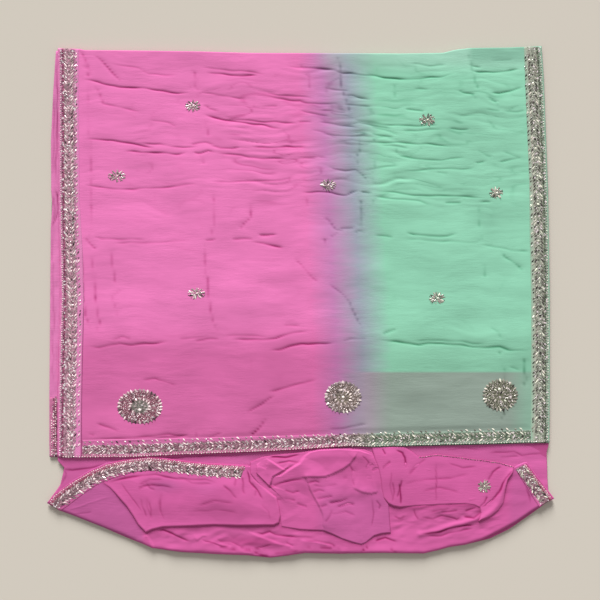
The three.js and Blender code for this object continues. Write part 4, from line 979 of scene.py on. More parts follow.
def puffed(height, low, roll, from_edge, from_top):
    """A fold's height over its low edge: rolled over at the edge as a quarter circle, and pressed along its top."""
    return low + (height - low) * quarter(np.clip(from_edge / roll, 0, 1)) * (
        NORTH + (1 - NORTH) * eased(from_top / NORTH_REACH))


def raised_fold(name, node_name, sides, rows, columns, height_of, roll, low, turned=None):
    """A raised sheet. Its edge is rolled over a number of steps, down to the low height, and closes there, with a thin
    line of painted shade along it.
    """
    across, down = between(*sides, rows, columns)
    away, _, _ = to_line(closed_outline(sides), across, down)
    away[[0, -1]] = 0
    away[:, [0, -1]] = 0
    height, closed = height_of(across, down, away)
    height = puffed(height, low, roll, away, to_line(sides[0], across, down)[0])
    # Painted shade in a thin line along the fold's rolled edge.
    closed = np.maximum(closed, 0.3 * np.exp(-(away / 0.9) ** 2))
    side = turned(across, down) if turned else 0 * across
    piece = padded_sheet(name, place(across, down, height), FLAP_CLOTH, {"closed": closed, "turned": side}, 0.02,
                         low - 0.3)
    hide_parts(node_name)


PILLOW_TOP = (96, 469, 105, 464, 122.9, 459.6, 139.5, 457, 150, 456.4, 164.4, 458, 189.3, 461.2, 205.8, 463, 222.4, 464,
              249, 465)
PILLOW_RIGHT = (249, 465, 250.5, 472, 255, 479, 262, 485, 270, 491.5, 277, 497, 279.5, 506, 281, 516, 279.5, 523)
PILLOW_CREASES = (
    (.8, 3, (104.7, 483.4, 119.6, 479, 132.9, 476.2, 146.1, 475.2, 156, 474, 166, 477.3, 189.3, 479.8, 205.8, 479.8,
             219.1, 483.4)),
    (.7, 7, (138, 486, 152, 484, 175, 487)),
    (.5, 3, (138, 489, 143, 486, 149, 484.5)),
    (.6, 3, (224, 484, 230.7, 491.4, 237.3, 498)),
    (.6, 3, (241.5, 476, 243, 486, 244.8, 494.7)),
    (.7, 3, (246, 468, 250, 482, 257, 491, 264, 500)),
    (.5, 3, (252, 482, 256, 490, 254, 498)),
    (.3, 5, (162, 491, 159, 503, 165, 520)),
    (.3, 6, (148, 495, 148, 508, 153, 520)),
    (.3, 8, (190, 512, 215, 509, 240, 513)),
    (.3, 6, (262, 503, 268, 511, 270, 520)),
    (.6, 3, (138, 484, 150, 479, 164, 480)),
    (.5, 3, (146, 482, 150, 487, 156, 489)),
    (.5, 2, (142, 497, 143, 508, 147, 518)),
    (.45, 2, (150, 500, 152, 510, 151, 519)),
    (.4, 2, (160, 498, 160, 506, 163, 514)),
    (.5, 4, (176, 476, 192, 483, 214, 484)),
    (.4, 4, (198, 505, 214, 500, 236, 502)),
    (.5, 3, (231, 468, 236, 478, 234, 488)),
    (.4, 5, (120, 482, 128, 492, 142, 512)),
)


def pillow_height(across, down, away):
    """Lies flat under the border and swells towards its lower fold and its right end."""
    swell = eased((across - 96) / 50) * (1.6 + 4.6 * eased((away - 1) / 26))
    rim = 3.0 * np.exp(-away / 9) * eased((down - 478) / 22)
    loose = (0.6 * drift(across, down, 26, 11, 61) + 0.6 * facets(across, down, 24, 13, 0.5, 62)
             + 0.3 * facets(across, down, 10, 8, -0.4, 65)) * eased((down - 470) / 14)
    cut, closed = creases_at(PILLOW_CREASES, across, down)
    return 10.2 + swell * (0.35 + 0.65 * eased((down - 466) / 22)) + rim + loose - 0.7 * cut, closed


def pillow_side(across, down):
    """Two patches under the border take the duller lilac of the cloth's wrong side."""
    return (0.9 * np.exp(-((across - 166) / 16) ** 2 - ((down - 485) / 6) ** 2)
            + 0.5 * np.exp(-((across - 206) / 14) ** 2 - ((down - 488) / 7) ** 2))


PILLOW_SIDES = (PILLOW_TOP, PILLOW_RIGHT, PILLOW_BOTTOM, PILLOW_LEFT)
PILLOW_ROLL, PILLOW_LOW = 2.6, 8.4      # how far in its edge is rolled, in steps, and the edge's height in millimetres
raised_fold("pillow_cloth", "tail_pillow", PILLOW_SIDES, 90, 190, pillow_height, PILLOW_ROLL, PILLOW_LOW,
            pillow_side)

CRUMPLE_TOP = (250, 462, 262, 457, 275, 455, 300, 452.5, 320, 448.4, 350, 448, 365, 449.4, 373, 453)
CRUMPLE_RIGHT = (373, 453, 375.6, 459.9, 379.5, 468.2, 382, 479.8, 383, 489.8, 385, 498, 389, 504, 390, 520, 391, 533)
CRUMPLE_LEFT = (250, 462, 250, 474, 259, 485, 268, 493, 275, 503, 279, 515, 281, 527)
CRUMPLE_CREASES = (
    (1, 5, (266, 488, 280, 482.5, 292, 479.5, 305, 478)),
    (.6, 3, (283, 490, 293, 493, 301, 490.5)),
    (.5, 3, (284, 498, 296, 501)),
    (.5, 3, (297, 503, 308, 508)),
    (1, 4, (268, 457.5, 286, 457.5, 302, 455)),
    (.8, 3, (371.3, 471.5, 375, 469, 379, 468)),
    (.5, 3, (366, 477, 372, 479)),
    (.6, 3, (317, 499, 333, 495.5)),
    (.8, 3, (328, 502.5, 340, 501, 349, 498)),
    (.7, 3, (336, 507.5, 348, 503.5, 356, 504)),
    (.4, 4, (330, 515, 345, 512, 356, 516)),
    (.6, 4, (350, 463, 354, 472, 352, 482, 355, 488)),
    (.4, 5, (372, 498, 374, 512, 371, 528)),
    (.6, 3, (362, 455, 368, 462, 366, 470)),
    (.6, 2.5, (307, 482, 315, 480, 321, 482)),
    (.6, 2.5, (312, 492, 319, 489, 326, 491)),
    (.5, 2.5, (320, 507, 327, 504)),
    (.5, 2.5, (324, 522, 330, 516, 333, 510)),
    (.5, 2.5, (373, 463, 370, 467)),
    (.5, 3, (342, 479, 347, 477)),
    (.4, 3, (312, 484, 324, 486, 338, 484)),
    (.6, 3, (276, 464, 290, 461, 300, 462)),
    (.5, 3, (262, 498, 276, 500, 284, 499)),
    (.45, 3, (376, 500, 381, 505, 379, 510)),
)
CRUMPLE_LAPS = (
    (2.4, 11, (303.3, 471.5, 307.5, 479.8, 310, 488, 314.9, 498, 319.9, 506.3, 323.2, 514.6, 324, 526, 323.2, 532)),
    (4.6, 12, (374, 456, 360, 451, 340, 449.6, 320, 450.4, 310, 452.6, 305, 456, 300, 463.2, 288.8, 470, 280.5, 475.7,
               270, 478)),
    (2.4, 9, (298, 477.5, 307.5, 475.9, 325, 475.9, 333, 473.2, 343, 468.2, 350, 463, 354.7, 456.6, 358, 450)),
    (2.0, 7, (352, 487, 363, 491.6, 371.3, 493.2, 379, 491)),
    (3.0, 7, (262, 461, 257.3, 465, 257.3, 473.2, 269.7, 485.6, 272.2, 476.5, 283.8, 469.8, 267.2, 459, 262, 461)),
    (0.9, 3, (363.8, 545, 361.4, 536.2, 359.7, 522.9, 358, 509.7, 357.2, 494.7, 355.6, 487.3)),
)


def crumple_height(across, down, away):
    """Crushed cloth: two puffs at the top, a flat panel below them, and many short laps."""
    loose = (0.5 * drift(across, down, 18, 12, 71) + 1.2 * facets(across, down, 17, 12, 0.6, 72)
             + 0.6 * facets(across, down, 8.5, 6, -0.5, 76))
    loose *= 1 - 0.5 * eased((across - 322) / 8) * eased((down - 498) / 10)
    cut, closed = creases_at(CRUMPLE_CREASES, across, down)
    panel = 1.2 * eased((across - 322) / 8) * eased((down - 500) / 20)
    height = 11.4 + loose + panel + laps_at(CRUMPLE_LAPS, across, down) - 0.9 * cut
    return np.maximum(height, 9.4), closed


def crumple_side(across, down):
    """The lower right panel of the crumple shows the wrong side of the cloth."""
    return (0.75 * eased((across - 312) / 14) * eased((down - 480) / 22)
            + 0.4 * np.exp(-((across - 332) / 24) ** 2 - ((down - 484) / 8) ** 2))


raised_fold("crumple_cloth", "tail_crumple", (CRUMPLE_TOP, CRUMPLE_RIGHT, CRUMPLE_BOTTOM, CRUMPLE_LEFT), 120, 180,
            crumple_height, 2.0, 8.5, crumple_side)

RIGHT_TOP = (371.5, 446.4, 390, 446, 404, 446.4, 412, 451.5, 418.6, 456.8, 426, 456, 436, 454.3, 449.3, 455.7,
             465.8, 457.9, 482.4, 459.9, 499, 462.1, 507.3, 464.6, 514.5, 466.4)
RIGHT_LEFT = (371.5, 446.4, 374.6, 459.9, 378, 468.2, 380.4, 479.8, 381.3, 489.8, 382.9, 498, 387.9, 503.8)
RIGHT_CREASES = (
    (1, 3, (396, 449, 402.8, 453.3, 405.3, 458.2, 406.1, 468)),
    (1, 3, (399, 482, 400, 494, 401.3, 505)),
    (.8, 3, (402, 478, 399.5, 488, 397, 498)),
    (.5, 5, (392, 480, 394, 492, 392, 502)),
    (.45, 3, (402, 484, 416, 479.8, 436, 479.8, 470, 474)),
    (.45, 3, (436.8, 462, 436, 480, 435.5, 503)),
    (.6, 3, (407.8, 475.7, 416.1, 466.5, 426, 458.2)),
    (.8, 3, (382, 469, 386, 465, 391, 461)),
    (.6, 2, (382.5, 448.5, 385, 454)),
    (1, 3, (479, 508, 485, 503, 487, 495)),
    (.6, 4, (487, 481, 493, 472, 502, 466)),
    (1, 3, (514, 469, 505.6, 478, 499, 491.4, 494, 498, 487.4, 504.7, 480, 509)),
    (.4, 4, (448, 462, 462, 468, 478, 467)),
    (.4, 5, (420, 492, 440, 488, 462, 493)),
    (.35, 6, (392, 470, 390, 485, 393, 500)),
)
RIGHT_LOW = 8.6         # height of its edge
ROLL_LINE = (512, 472, 506, 482, 501.5, 493, 498.5, 503, 493, 510, 485, 516, 479, 519.5)


def right_height(across, down, away):
    """A flat doubled panel with a rolled cord of cloth down its right end."""
    loose = (0.5 * drift(across, down, 30, 14, 81) + 0.5 * facets(across, down, 26, 15, 0.3, 82)
             + 0.2 * facets(across, down, 11, 8, -0.5, 85))
    cut, closed = creases_at(RIGHT_CREASES, across, down)
    cord, _, _ = to_line(ROLL_LINE, across, down)
    panel = 2.0 * np.exp(-((across - 391) / 8) ** 2) + 1.3 * eased((down - 460) / 24)
    return 11.2 + loose + panel + 2.8 * np.exp(-(cord / 3.2) ** 2) - 0.7 * cut, closed


def right_top(across, down):
    """Outer height of the right fold away from its rolled edges."""
    return puffed(right_height(across, down, 3)[0], RIGHT_LOW, 1, 1, to_line(RIGHT_TOP, across, down)[0])


raised_fold("right_fold_cloth", "tail_right_flap", (RIGHT_TOP, RIGHT_RIGHT, RIGHT_BOTTOM, RIGHT_LEFT), 80, 190,
            right_height, 2.2, RIGHT_LOW)


# ---------- Selvedge and end borders ----------
# A band of net stitched along each edge of the saree, covered with handwork in thread and beads, with a thread line
# by the hem. Each is a thin strip that follows the cloth it is sewn to. Its stones are set on it further down.
def net_group():
    """Dense handwork on net: small cells, some dark, some bright, over a ground colour, the brightest few painted near
    white as glints, with a height for bumps.
    """
    tree = bpy.data.node_groups.new("worked_net", "ShaderNodeTree")
    group_sockets(tree, (("Ground", COLOUR, None), ("Work", VALUE, None)), (("Colour", COLOUR), ("Height", VALUE)))
    link = tree.links.new
    given, out = node(tree, "NodeGroupInput"), node(tree, "NodeGroupOutput")
    where = node(tree, "ShaderNodeTexCoord")
    cells = node(tree, "ShaderNodeTexVoronoi", in_Scale=330, in_Randomness=1)
    loops = node(tree, "ShaderNodeTexVoronoi", feature="DISTANCE_TO_EDGE", in_Scale=330, in_Randomness=1)
    for cell in (cells, loops):
        link(where.outputs["Object"], cell.inputs["Vector"])
    split = node(tree, "ShaderNodeSeparateColor")
    link(cells.outputs["Color"], split.inputs[0])
    each = split.outputs[0]
    levels = ((0, 0.36), (0.3, 0.68), (0.62, 1.02), (0.84, 1.22))
    tone = ramped(tree, [(spot, (level, level, level, 1)) for spot, level in levels], each)
    lit = blended(tree, given.outputs["Work"], given.outputs["Ground"], tone, "MULTIPLY")
    # Painted glints: the brightest cells of the handwork turn near white.
    painted_glint = sums(tree, "MULTIPLY", ranged(tree, each, 0.9, 0.91), given.outputs["Work"])
    paled = blended(tree, painted_glint, lit, shade(236, 222, 226))
    seam = ranged(tree, loops.outputs["Distance"], 0.02, 0.16, 0.72, 1)
    link(blended(tree, given.outputs["Work"], paled, seam, "MULTIPLY"), out.inputs["Colour"])
    link(seam, out.inputs["Height"])
    return tree


WORKED_NET = net_group()


NET_FINISH = {"Roughness": 0.6, "Specular_IOR_Level": 0.12}
MEETING = (330, 378)    # the borders and stones pass from the pink side to the mint side between these places


def striped(tree, stripes, span, inward):
    """Colour from a value between 0 and 1 by stripes, each from one place to another, with a soft change between."""
    stops = [(at / span, shade(*colour)) for start, end, colour in stripes for at in sorted({start, end})]
    return ramped(tree, stops, inward)


def mint_side(tree):
    """How far a place has passed over to the dye's mint side, from 0 to 1."""
    split = node(tree, "ShaderNodeSeparateXYZ")
    tree.links.new(node(tree, "ShaderNodeTexCoord").outputs["Object"], split.inputs[0])
    return ranged(tree, split.outputs["X"], x_of(MEETING[0]), x_of(MEETING[1]))


def net_material(name, stripes, span, work, far_stripes=None):
    """Net with a stripe for each part of the band, by the distance in from the hem in steps: the hem, the ground of
    the beads, the couched line, the vine's net and the sheer cloth beyond it, and on the left band a last dark stripe
    of painted shade along its inner edge. Where far stripes are given, the colour passes over to them on the mint
    side. The work is the distances between which the handwork shows."""
    material, tree, surface = new_material(name, **NET_FINISH)
    inward = mark_value(tree, "inward")
    share = ranged(tree, inward, 0, span)
    ground = striped(tree, stripes, span, share)
    if far_stripes:
        ground = blended(tree, mint_side(tree), ground, striped(tree, far_stripes, span, share))
    begins = ranged(tree, inward, work[0], work[0] + 1.5, 0.25)
    ends = ranged(tree, inward, work[1] + 1.5, work[1])
    handwork = node(tree, "ShaderNodeGroup", node_tree=WORKED_NET)
    tree.links.new(ground, handwork.inputs["Ground"])
    tree.links.new(sums(tree, "MULTIPLY", begins, ends), handwork.inputs["Work"])
    tree.links.new(handwork.outputs["Colour"], surface.inputs["Base Color"])
    raise_relief(tree, surface, handwork.outputs["Height"], 0.7, 0.0008)
    return material


NET_RISE = 0.45         # the net's thickness on the cloth, in millimetres


def border_net(node_name, hem, inner, columns, surface, material, under):
    """A strip between a hem line and an inner line, each a row of places, following the surface that carries it, with
    its hidden face at the height under. Both lines are turned end for end where the strip would otherwise face down."""
    run, reach_in = hem[-1] - hem[0], inner[0] - hem[0]
    if run[0] * reach_in[1] > run[1] * reach_in[0]:
        hem, inner = hem[::-1], inner[::-1]
    share = np.linspace(0, 1, columns)[None, :, None]
    grid = hem[:, None] * (1 - share) + inner[:, None] * share
    across, down = grid[..., 0], grid[..., 1]
    inward = np.hypot(*(np.moveaxis(grid - hem[:, None], -1, 0)))
    edge = eased(np.minimum(share[..., 0], 1 - share[..., 0]) * columns / 1.5)
    height = surface(across, down) + NET_RISE * (0.25 + 0.75 * edge)
    piece = padded_sheet(node_name + "_net", place(across, down, height), material, {"inward": inward}, 0.004, under)
    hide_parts(node_name)


def on_pallu(across, down):
    """Height of the pallu's outer face, in millimetres."""
    return pallu_height(across, down)[0]


def on_under(across, down):
    """Height of the under layer where its border lies, in millimetres."""
    return np.full(np.shape(across), 5.5)


def line_down(table, offset, first, last, count=60):
    """A line of places running down, an offset to the right of a table's line."""
    down = np.linspace(first, last, count)
    return np.column_stack([along(table, down) + offset, down])


def line_across(table, offset, first, last, count):
    """A line of places running across, an offset below a table's line."""
    across = np.linspace(first, last, count)
    return np.column_stack([across, along(table, across) + offset])


NET_INSET = 0.35        # how far in from the cloth's own edge a net begins, in steps
LEFT_INNER = ((46, 79), (120, 79), (200, 79.8), (255, 83), (300, 84.4), (350, 83.2), (400, 82.2), (460, 82))
RIGHT_INNER = ((44, 523.6), (100, 525.6), (180, 529), (240, 529.6), (300, 531), (400, 531), (460, 530))
END_INNER = ((57, 440.4), (100, 439.6), (200, 437.6), (300, 435.4), (400, 432.6), (550, 429.4))

# The last stripe, dark magenta at the band's inner edge, is painted shade where the band meets the loose cloth.
PINK_NET = ((0, 1.6, (222, 127, 180)), (3, 3.6, (204, 134, 172)), (4.7, 5.2, (160, 78, 114)),
            (6.6, 15, (194, 143, 162)), (19, 22.6, (221, 133, 184)), (24.4, 24.4, (150, 54, 110)))
border_net("border_left", line_down(PALLU_LEFT, NET_INSET, 48.6, 457.6, 410),
           line_down(LEFT_INNER, 0, 48.6, 457.6, 410), 30, on_pallu,
           net_material("pink_net", PINK_NET, 26, (2, 17)), 8.6)

MINT_NET = ((0, 1.6, (157, 191, 169)), (3, 3.4, (154, 168, 150)), (4.2, 4.8, (122, 134, 113)),
            (6.2, 15, (172, 177, 161)), (19, 20.5, (152, 188, 165)))
border_net("border_right", line_down(PALLU_RIGHT, -NET_INSET, 47, 443.4, 396),
           line_down(RIGHT_INNER, 0, 47, 443.4, 396), 28, on_pallu,
           net_material("mint_net", MINT_NET, 24, (1, 14)), 8.6)

END_PINK = ((0, .9, (139, 50, 92)), (1.7, 3.4, (209, 126, 164)), (4.8, 11, (168, 120, 137)),
            (13.5, 15, (205, 110, 163)))
END_MINT = ((0, .9, (63, 92, 71)), (1.7, 3.4, (156, 177, 160)), (4.8, 11, (129, 144, 124)),
            (13.5, 15, (140, 161, 145)))
border_net("border_end", line_across(PALLU_END, -NET_INSET, 82.4, 530.6, 450),
           line_across(END_INNER, 0, 82.4, 530.6, 450), 24, on_pallu,
           net_material("end_net", END_PINK, 18, (3, 12), END_MINT), 8.6)

UNDER_NET = ((0, 3, (200, 116, 156)), (5, 8, (165, 98, 125)))
border_net("border_under", line_down(UNDER_LEFT, 0.6, 398, 457), line_down(PALLU_LEFT, -0.4, 398, 457), 10, on_under,
           net_material("under_net", UNDER_NET, 9, (2, 8)), 4.2)


# ---------- Borders of the lower stretch ----------
# The same net on the flap's own edge: a long run at the left, over the pillow, and a short one on the right tip.
# The left one rises from the flap onto the pillow along its way.
def within(outline, across, down):
    """True inside a closed outline of places, by counting its crossings on the way down."""
    points = np.array(outline, float).reshape(-1, 2)
    crossed = np.zeros(across.shape, bool)
    for (a0, d0), (a1, d1) in zip(points, np.roll(points, -1, axis=0)):
        spans = (a0 > across) != (a1 > across)
        meets = d0 + (d1 - d0) * (across - a0) / (a1 - a0 if a1 != a0 else 1)
        crossed ^= spans & (down < meets)
    return crossed


def on_flap(across, down):
    """Height of the flap's outer face or of the pillow on it, in millimetres."""
    outline = closed_outline(PILLOW_SIDES)
    away, _, _ = to_line(outline, across, down)
    puff = puffed(pillow_height(across, down, away)[0], PILLOW_LOW, PILLOW_ROLL, away,
                  to_line(PILLOW_TOP, across, down)[0])
    flat = flap_height(across, down)[0]
    return np.where(within(outline, across, down), np.maximum(puff, flat), flat)


TAIL_HEM = (48, 502.6, 51, 498.6, 57, 492.6, 73.4, 481, 90, 471.2, 106.4, 464, 123, 460.2, 139.5, 457.8, 150, 457.2,
            164.4, 458.8, 189.3, 462, 205.8, 463.8, 222.4, 464.8, 245, 466)
TAIL_INNER = (57, 509.4, 62, 510, 68, 506, 75, 500.6, 87, 491.6, 100, 483.2, 113, 478.4, 123, 475.4, 136, 471.4,
              152.8, 470.6, 172.7, 471.4, 189.3, 473.6, 205.8, 475.2, 222.4, 476.6, 241, 477)
TIP_HEM = (526.2, 463.4, 533, 472, 541, 482.4, 549, 492.6, 552.8, 498)
TIP_INNER = (515.4, 469.4, 521, 478.6, 528, 489.6, 534.6, 500.4, 539, 507)
TAIL_NET = ((0, .6, (172, 64, 116)), (1.4, 2.2, (195, 108, 148)), (3.1, 3.6, (160, 80, 104)),
            (5, 11, (160, 121, 133)), (13.5, 16, (200, 98, 155)))
tail_net = net_material("tail_net", TAIL_NET, 18, (2.5, 13))
run = np.linspace(0, 1, 220)
border_net("border_tail_left", even_points(TAIL_HEM, run), even_points(TAIL_INNER, run), 20, on_flap, tail_net, 8.2)
run = np.linspace(0, 1, 50)
border_net("border_tail_right", even_points(TIP_HEM, run), even_points(TIP_INNER, run), 18,
           lambda across, down: flap_height(across, down)[0], tail_net, 8.0)


# ---------- Stones and beads ----------
# Flat-backed glass on foil: leaf-shaped stones, round stones and small beads, each stuck or sewn through the net.
# Each border's stones are one mesh, in which every stone is a closed shape of its own with its own tone; greys are the
# foil's own silver, whites are painted glints and near blacks painted dark reflections.
LEAF_RIM = np.array([(-1, 0), (-.62, -.62), (0, -1), (.62, -.62), (1, 0), (.62, .62), (0, 1), (-.62, .62)])


def leaf_shape():
    """A pointed oval 2 long, 2 wide and 1 high: a low girdle of 8 sides, cut up to a ridge along the middle."""
    base = np.column_stack([LEAF_RIM, np.zeros(8)])
    girdle = np.column_stack([LEAF_RIM, np.full(8, 0.4)])
    ridge = np.array([(-.42, 0, 1), (.42, 0, 1)])
    walls = [(i, (i + 1) % 8, 8 + (i + 1) % 8, 8 + i) for i in range(8)]
    cuts = [(8, 9, 16), (9, 10, 16), (10, 17, 16), (10, 11, 17), (11, 12, 17), (12, 13, 17), (13, 14, 17),
            (14, 16, 17), (14, 15, 16), (15, 8, 16)]
    return np.concatenate([base, girdle, ridge]), walls + cuts + [tuple(range(7, -1, -1))]


def round_shape(sides, table):
    """A round stone 2 across and 1 high: cut from its rim up to a flat table, a share of the width across."""
    turn = np.arange(sides) * 2 * np.pi / sides
    ring = np.column_stack([np.cos(turn), np.sin(turn)])
    points = np.concatenate([np.column_stack([ring, np.zeros(sides)]), np.column_stack([ring, np.full(sides, 0.3)]),
                             np.column_stack([ring * table, np.ones(sides)])])
    walls = [(level * sides + i, level * sides + (i + 1) % sides, (level + 1) * sides + (i + 1) % sides,
              (level + 1) * sides + i) for level in range(2) for i in range(sides)]
    return points, walls + [tuple(range(2 * sides, 3 * sides)), tuple(range(sides - 1, -1, -1))]


LEAF, ROUND, BEAD = leaf_shape(), round_shape(8, 0.5), round_shape(5, 0.45)
STONES = np.random.default_rng(88)


def stones(shape, spots, size, turn, tones, tilt=0.16):
    """Many copies of one shape. Spots are places with a height, sizes are length, width and height in steps, the
    turn is an angle from the layout's across, and each copy leans a little at random."""
    points, faces = shape
    count = len(spots)
    size = np.broadcast_to(np.array(size, float), (count, 3)) * (0.5, 0.5, 1)
    local = points[None] * size[:, None]
    lean = STONES.normal(0, tilt, (count, 2))
    local[..., 2] += local[..., 0] * lean[:, :1] + local[..., 1] * lean[:, 1:]
    cos, sin = np.cos(turn)[:, None], np.sin(turn)[:, None]
    across = spots[:, :1] + local[..., 0] * cos - local[..., 1] * sin
    down = spots[:, 1:2] - local[..., 0] * sin - local[..., 1] * cos
    solid = place(across, down, spots[:, 2:3] + local[..., 2] * STEP / MM)
    return solid, faces, np.repeat(tones, len(points))


def set_stones(name, groups, node_names=()):
    """One mesh of several groups of stones, with each stone's own tone from 0 for dark to 1 for white, whose ends paint
    dark reflections and glints.
    """
    points, faces, tones, start = [], [], [], 0
    for solid, shape_faces, tone in groups:
        count, each = solid.shape[:2]
        starts = start + each * np.arange(count)
        for face in shape_faces:
            faces.append((starts[:, None] + np.array(face)[None]).tolist())
        points.append(solid.reshape(-1, 3))
        tones.append(tone)
        start += count * each
    piece = make_piece(name, np.concatenate(points), faces, CRYSTAL, smooth=False,
                       marks={"tone": np.concatenate(tones)})
    if node_names:
        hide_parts(*node_names)


# Greys are the foil's own silver; the whites are painted glints and the near blacks painted dark reflections.
CRYSTAL_TONES = ((0, (38, 32, 34)), (.18, (92, 84, 86)), (.4, (150, 142, 142)), (.62, (198, 188, 190)),
                 (.8, (250, 236, 240)), (1, (255, 253, 250)))


def crystal_material():
    """Glass on foil: near black, grey or white by each stone's tone, a little warm on the pink side and a little
    green on the mint side, with a sharp gloss. The greys are the foil's own silver and partly the beads' own colours;
    the whites are painted glints and the near blacks painted dark reflections."""
    material, tree, surface = new_material("crystal", Metallic=0.05, Roughness=0.18, Coat_Weight=0.35,
                                           Coat_Roughness=0.05)
    tone = ramped(tree, [(spot, shade(*colour)) for spot, colour in CRYSTAL_TONES], mark_value(tree, "tone"))
    tint = blended(tree, mint_side(tree), shade(255, 238, 238), shade(244, 248, 230))
    tree.links.new(blended(tree, 1.0, tone, tint, "MULTIPLY"), surface.inputs["Base Color"])
    return material


CRYSTAL = crystal_material()
LEAN = math.radians(36)     # each leaf stone of a pair leans out by this from the way the vine grows


def mixed_tones(count, white, dark=0.12):
    """Tones of which about the given shares are white, as painted glints, and dark, as painted dark reflections, and
    the rest grey.
    """
    pick = STONES.random(count)
    return np.where(pick < white, STONES.uniform(.76, 1, count),
                    np.where(pick > 1 - dark, STONES.uniform(0, .24, count), STONES.uniform(.32, .66, count)))


def vine(path, pitch, surface, wide, white=0.4, dark=0.1):
    """Stones of a leaf vine growing along a path with the sprigs on its right hand: for each pitch a large leaf
    pair, two thin pairs with the same lean, a round stone between, one sprig, and small stones among them."""
    points = np.array(path, float).reshape(-1, 2)
    length = np.hypot(*np.diff(points, axis=0).T).sum()
    count = int(length / pitch)
    starts = (np.arange(count) + 0.5) * length / count

    def spots(forward, sideways, jitter=0.16):
        """A place with a height in each pitch, so far ahead and to the right, and which way the vine grows there."""
        at = starts + forward + STONES.normal(0, jitter, count)
        here = even_points(points, np.clip(at / length, 0, 1))
        ahead = even_points(points, np.clip((at + 3) / length, 0, 1)) - even_points(
            points, np.clip((at - 3) / length, 0, 1))
        ahead /= np.linalg.norm(ahead, axis=1, keepdims=True)
        right = np.stack([-ahead[:, 1], ahead[:, 0]], axis=-1)
        here = here + right * (sideways + STONES.normal(0, jitter, count))[:, None]
        height = surface(here[:, 0], here[:, 1]) + NET_RISE
        return np.column_stack([here, height]), np.arctan2(-ahead[:, 1], ahead[:, 0])

    made = []
    for forward, sideways, lean, size, share in (
            (0, 3.2, -LEAN, (5.0, 1.4, .45), 1), (0, -3.2, LEAN, (5.0, 1.4, .45), 1),
            (-0.33 * pitch, 3.0, -LEAN, (4.5, 1.1, .3), .1), (-0.33 * pitch, -3.0, LEAN, (4.5, 1.1, .3), .1),
            (0.34 * pitch, 3.0, -LEAN, (4.5, 1.1, .3), .16), (0.34 * pitch, -3.0, LEAN, (4.5, 1.1, .3), .16),
            (0.05 * pitch, wide, -LEAN * 1.1, (3.8, 1.4, .42), .75), (0.42 * pitch, wide, -LEAN, (2.8, 1.2, .35), .2)):
        spot, heading = spots(forward, sideways)
        # White tones paint glints on the stones and dark ones paint dark reflections.
        tones = mixed_tones(count, share * (white + .2), dark)
        made.append(stones(LEAF, spot, size, heading + lean + STONES.normal(0, .1, count), tones))
    spot, heading = spots(-0.08 * pitch, 0)
    wide_stones = np.where(STONES.random(count) < .35, 2.6, 1.6)[:, None] * (1, 1, .24)
    made.append(stones(ROUND, spot, wide_stones, heading, mixed_tones(count, .4, dark)))
    spot, heading = spots(0.35 * pitch, 0)
    made.append(stones(ROUND, spot, (1.4, 1.4, .35), heading, mixed_tones(count, .15)))
    for forward, sideways in ((.2, 4.4), (.45, -4.4), (-.2, 4.8), (-.45, -4.7), (.5, 1.5), (.15, -1.6)):
        spot, heading = spots(forward * pitch, sideways, 0.5)
        made.append(stones(BEAD, spot, (1.2, 1.0, .3), heading + STONES.uniform(0, 3, count), mixed_tones(count, .06)))
    return made


def bead_row(path, pitch, surface, size, tone):
    """Beads threaded at even pitch along a path. The tone is the darkest and the lightest that a bead may have."""
    points = np.array(path, float).reshape(-1, 2)
    length = np.hypot(*np.diff(points, axis=0).T).sum()
    count = int(length / pitch)
    here = even_points(points, (np.arange(count) + .5) / count) + STONES.normal(0, .12, (count, 2))
    spot = np.column_stack([here, surface(here[:, 0], here[:, 1]) + NET_RISE])
    return stones(BEAD, spot, size, STONES.uniform(0, 3, count), STONES.uniform(*tone, count))


left_vine = (72, 450, 72, 400, 73.2, 350, 72.8, 300, 70.6, 240, 69.4, 200, 69, 150, 69, 53)
set_stones("border_left_stones", vine(left_vine[:8], 9.7, on_pallu, 7.2, .75)
           + vine(left_vine[6:], 8.3, on_pallu, 7.4, .65)
           + [bead_row(line_down(PALLU_LEFT, 2.9, 51, 456), 2.2, on_pallu, (1.3, 1.3, .5), (.55, .95)),
              bead_row(line_down(PALLU_LEFT, 4.4, 51, 456), 2.9, on_pallu, (1.1, 1.1, .4), (.1, .4))])
right_vine = (532, 52, 532.4, 80, 535, 140, 538, 200, 538.3, 240, 540, 300, 540, 400, 539, 432)
set_stones("border_right_stones", vine(right_vine, 9.2, on_pallu, 6.6, .08, .6)
           + [bead_row(line_down(PALLU_RIGHT, -2.2, 50, 441), 2.6, on_pallu, (1.3, 1.3, .5), (.5, .9)),
              bead_row(line_down(PALLU_RIGHT, -4.4, 50, 441), 2.4, on_pallu, (1.1, 1.1, .4), (0, .3))])
end_vine = (528, 436, 500, 436.4, 400, 439.4, 300, 443, 200, 446.4, 100, 449.2, 84, 449.6)
set_stones("border_end_stones", vine(end_vine, 13.4, on_pallu, 7.2, .7)
           + vine(end_vine, 13.4, on_pallu, 4.6, .1)[2:6]
           + [bead_row(line_across(PALLU_END, -1.7, 62, 546, 120), 2.7, on_pallu, (1.5, 1.2, .5), (.6, 1)),
              bead_row(line_across(PALLU_END, -3.2, 62, 546, 120), 2.7, on_pallu, (1.1, 1.1, .4), (.3, .7))])
tail_at, tip_at = np.linspace(.04, .99, 60), np.linspace(.06, .94, 30)
tail_vine = even_points(TAIL_HEM, tail_at) * .45 + even_points(TAIL_INNER, tail_at) * .55
tip_vine = even_points(TIP_HEM, tip_at) * .5 + even_points(TIP_INNER, tip_at) * .5
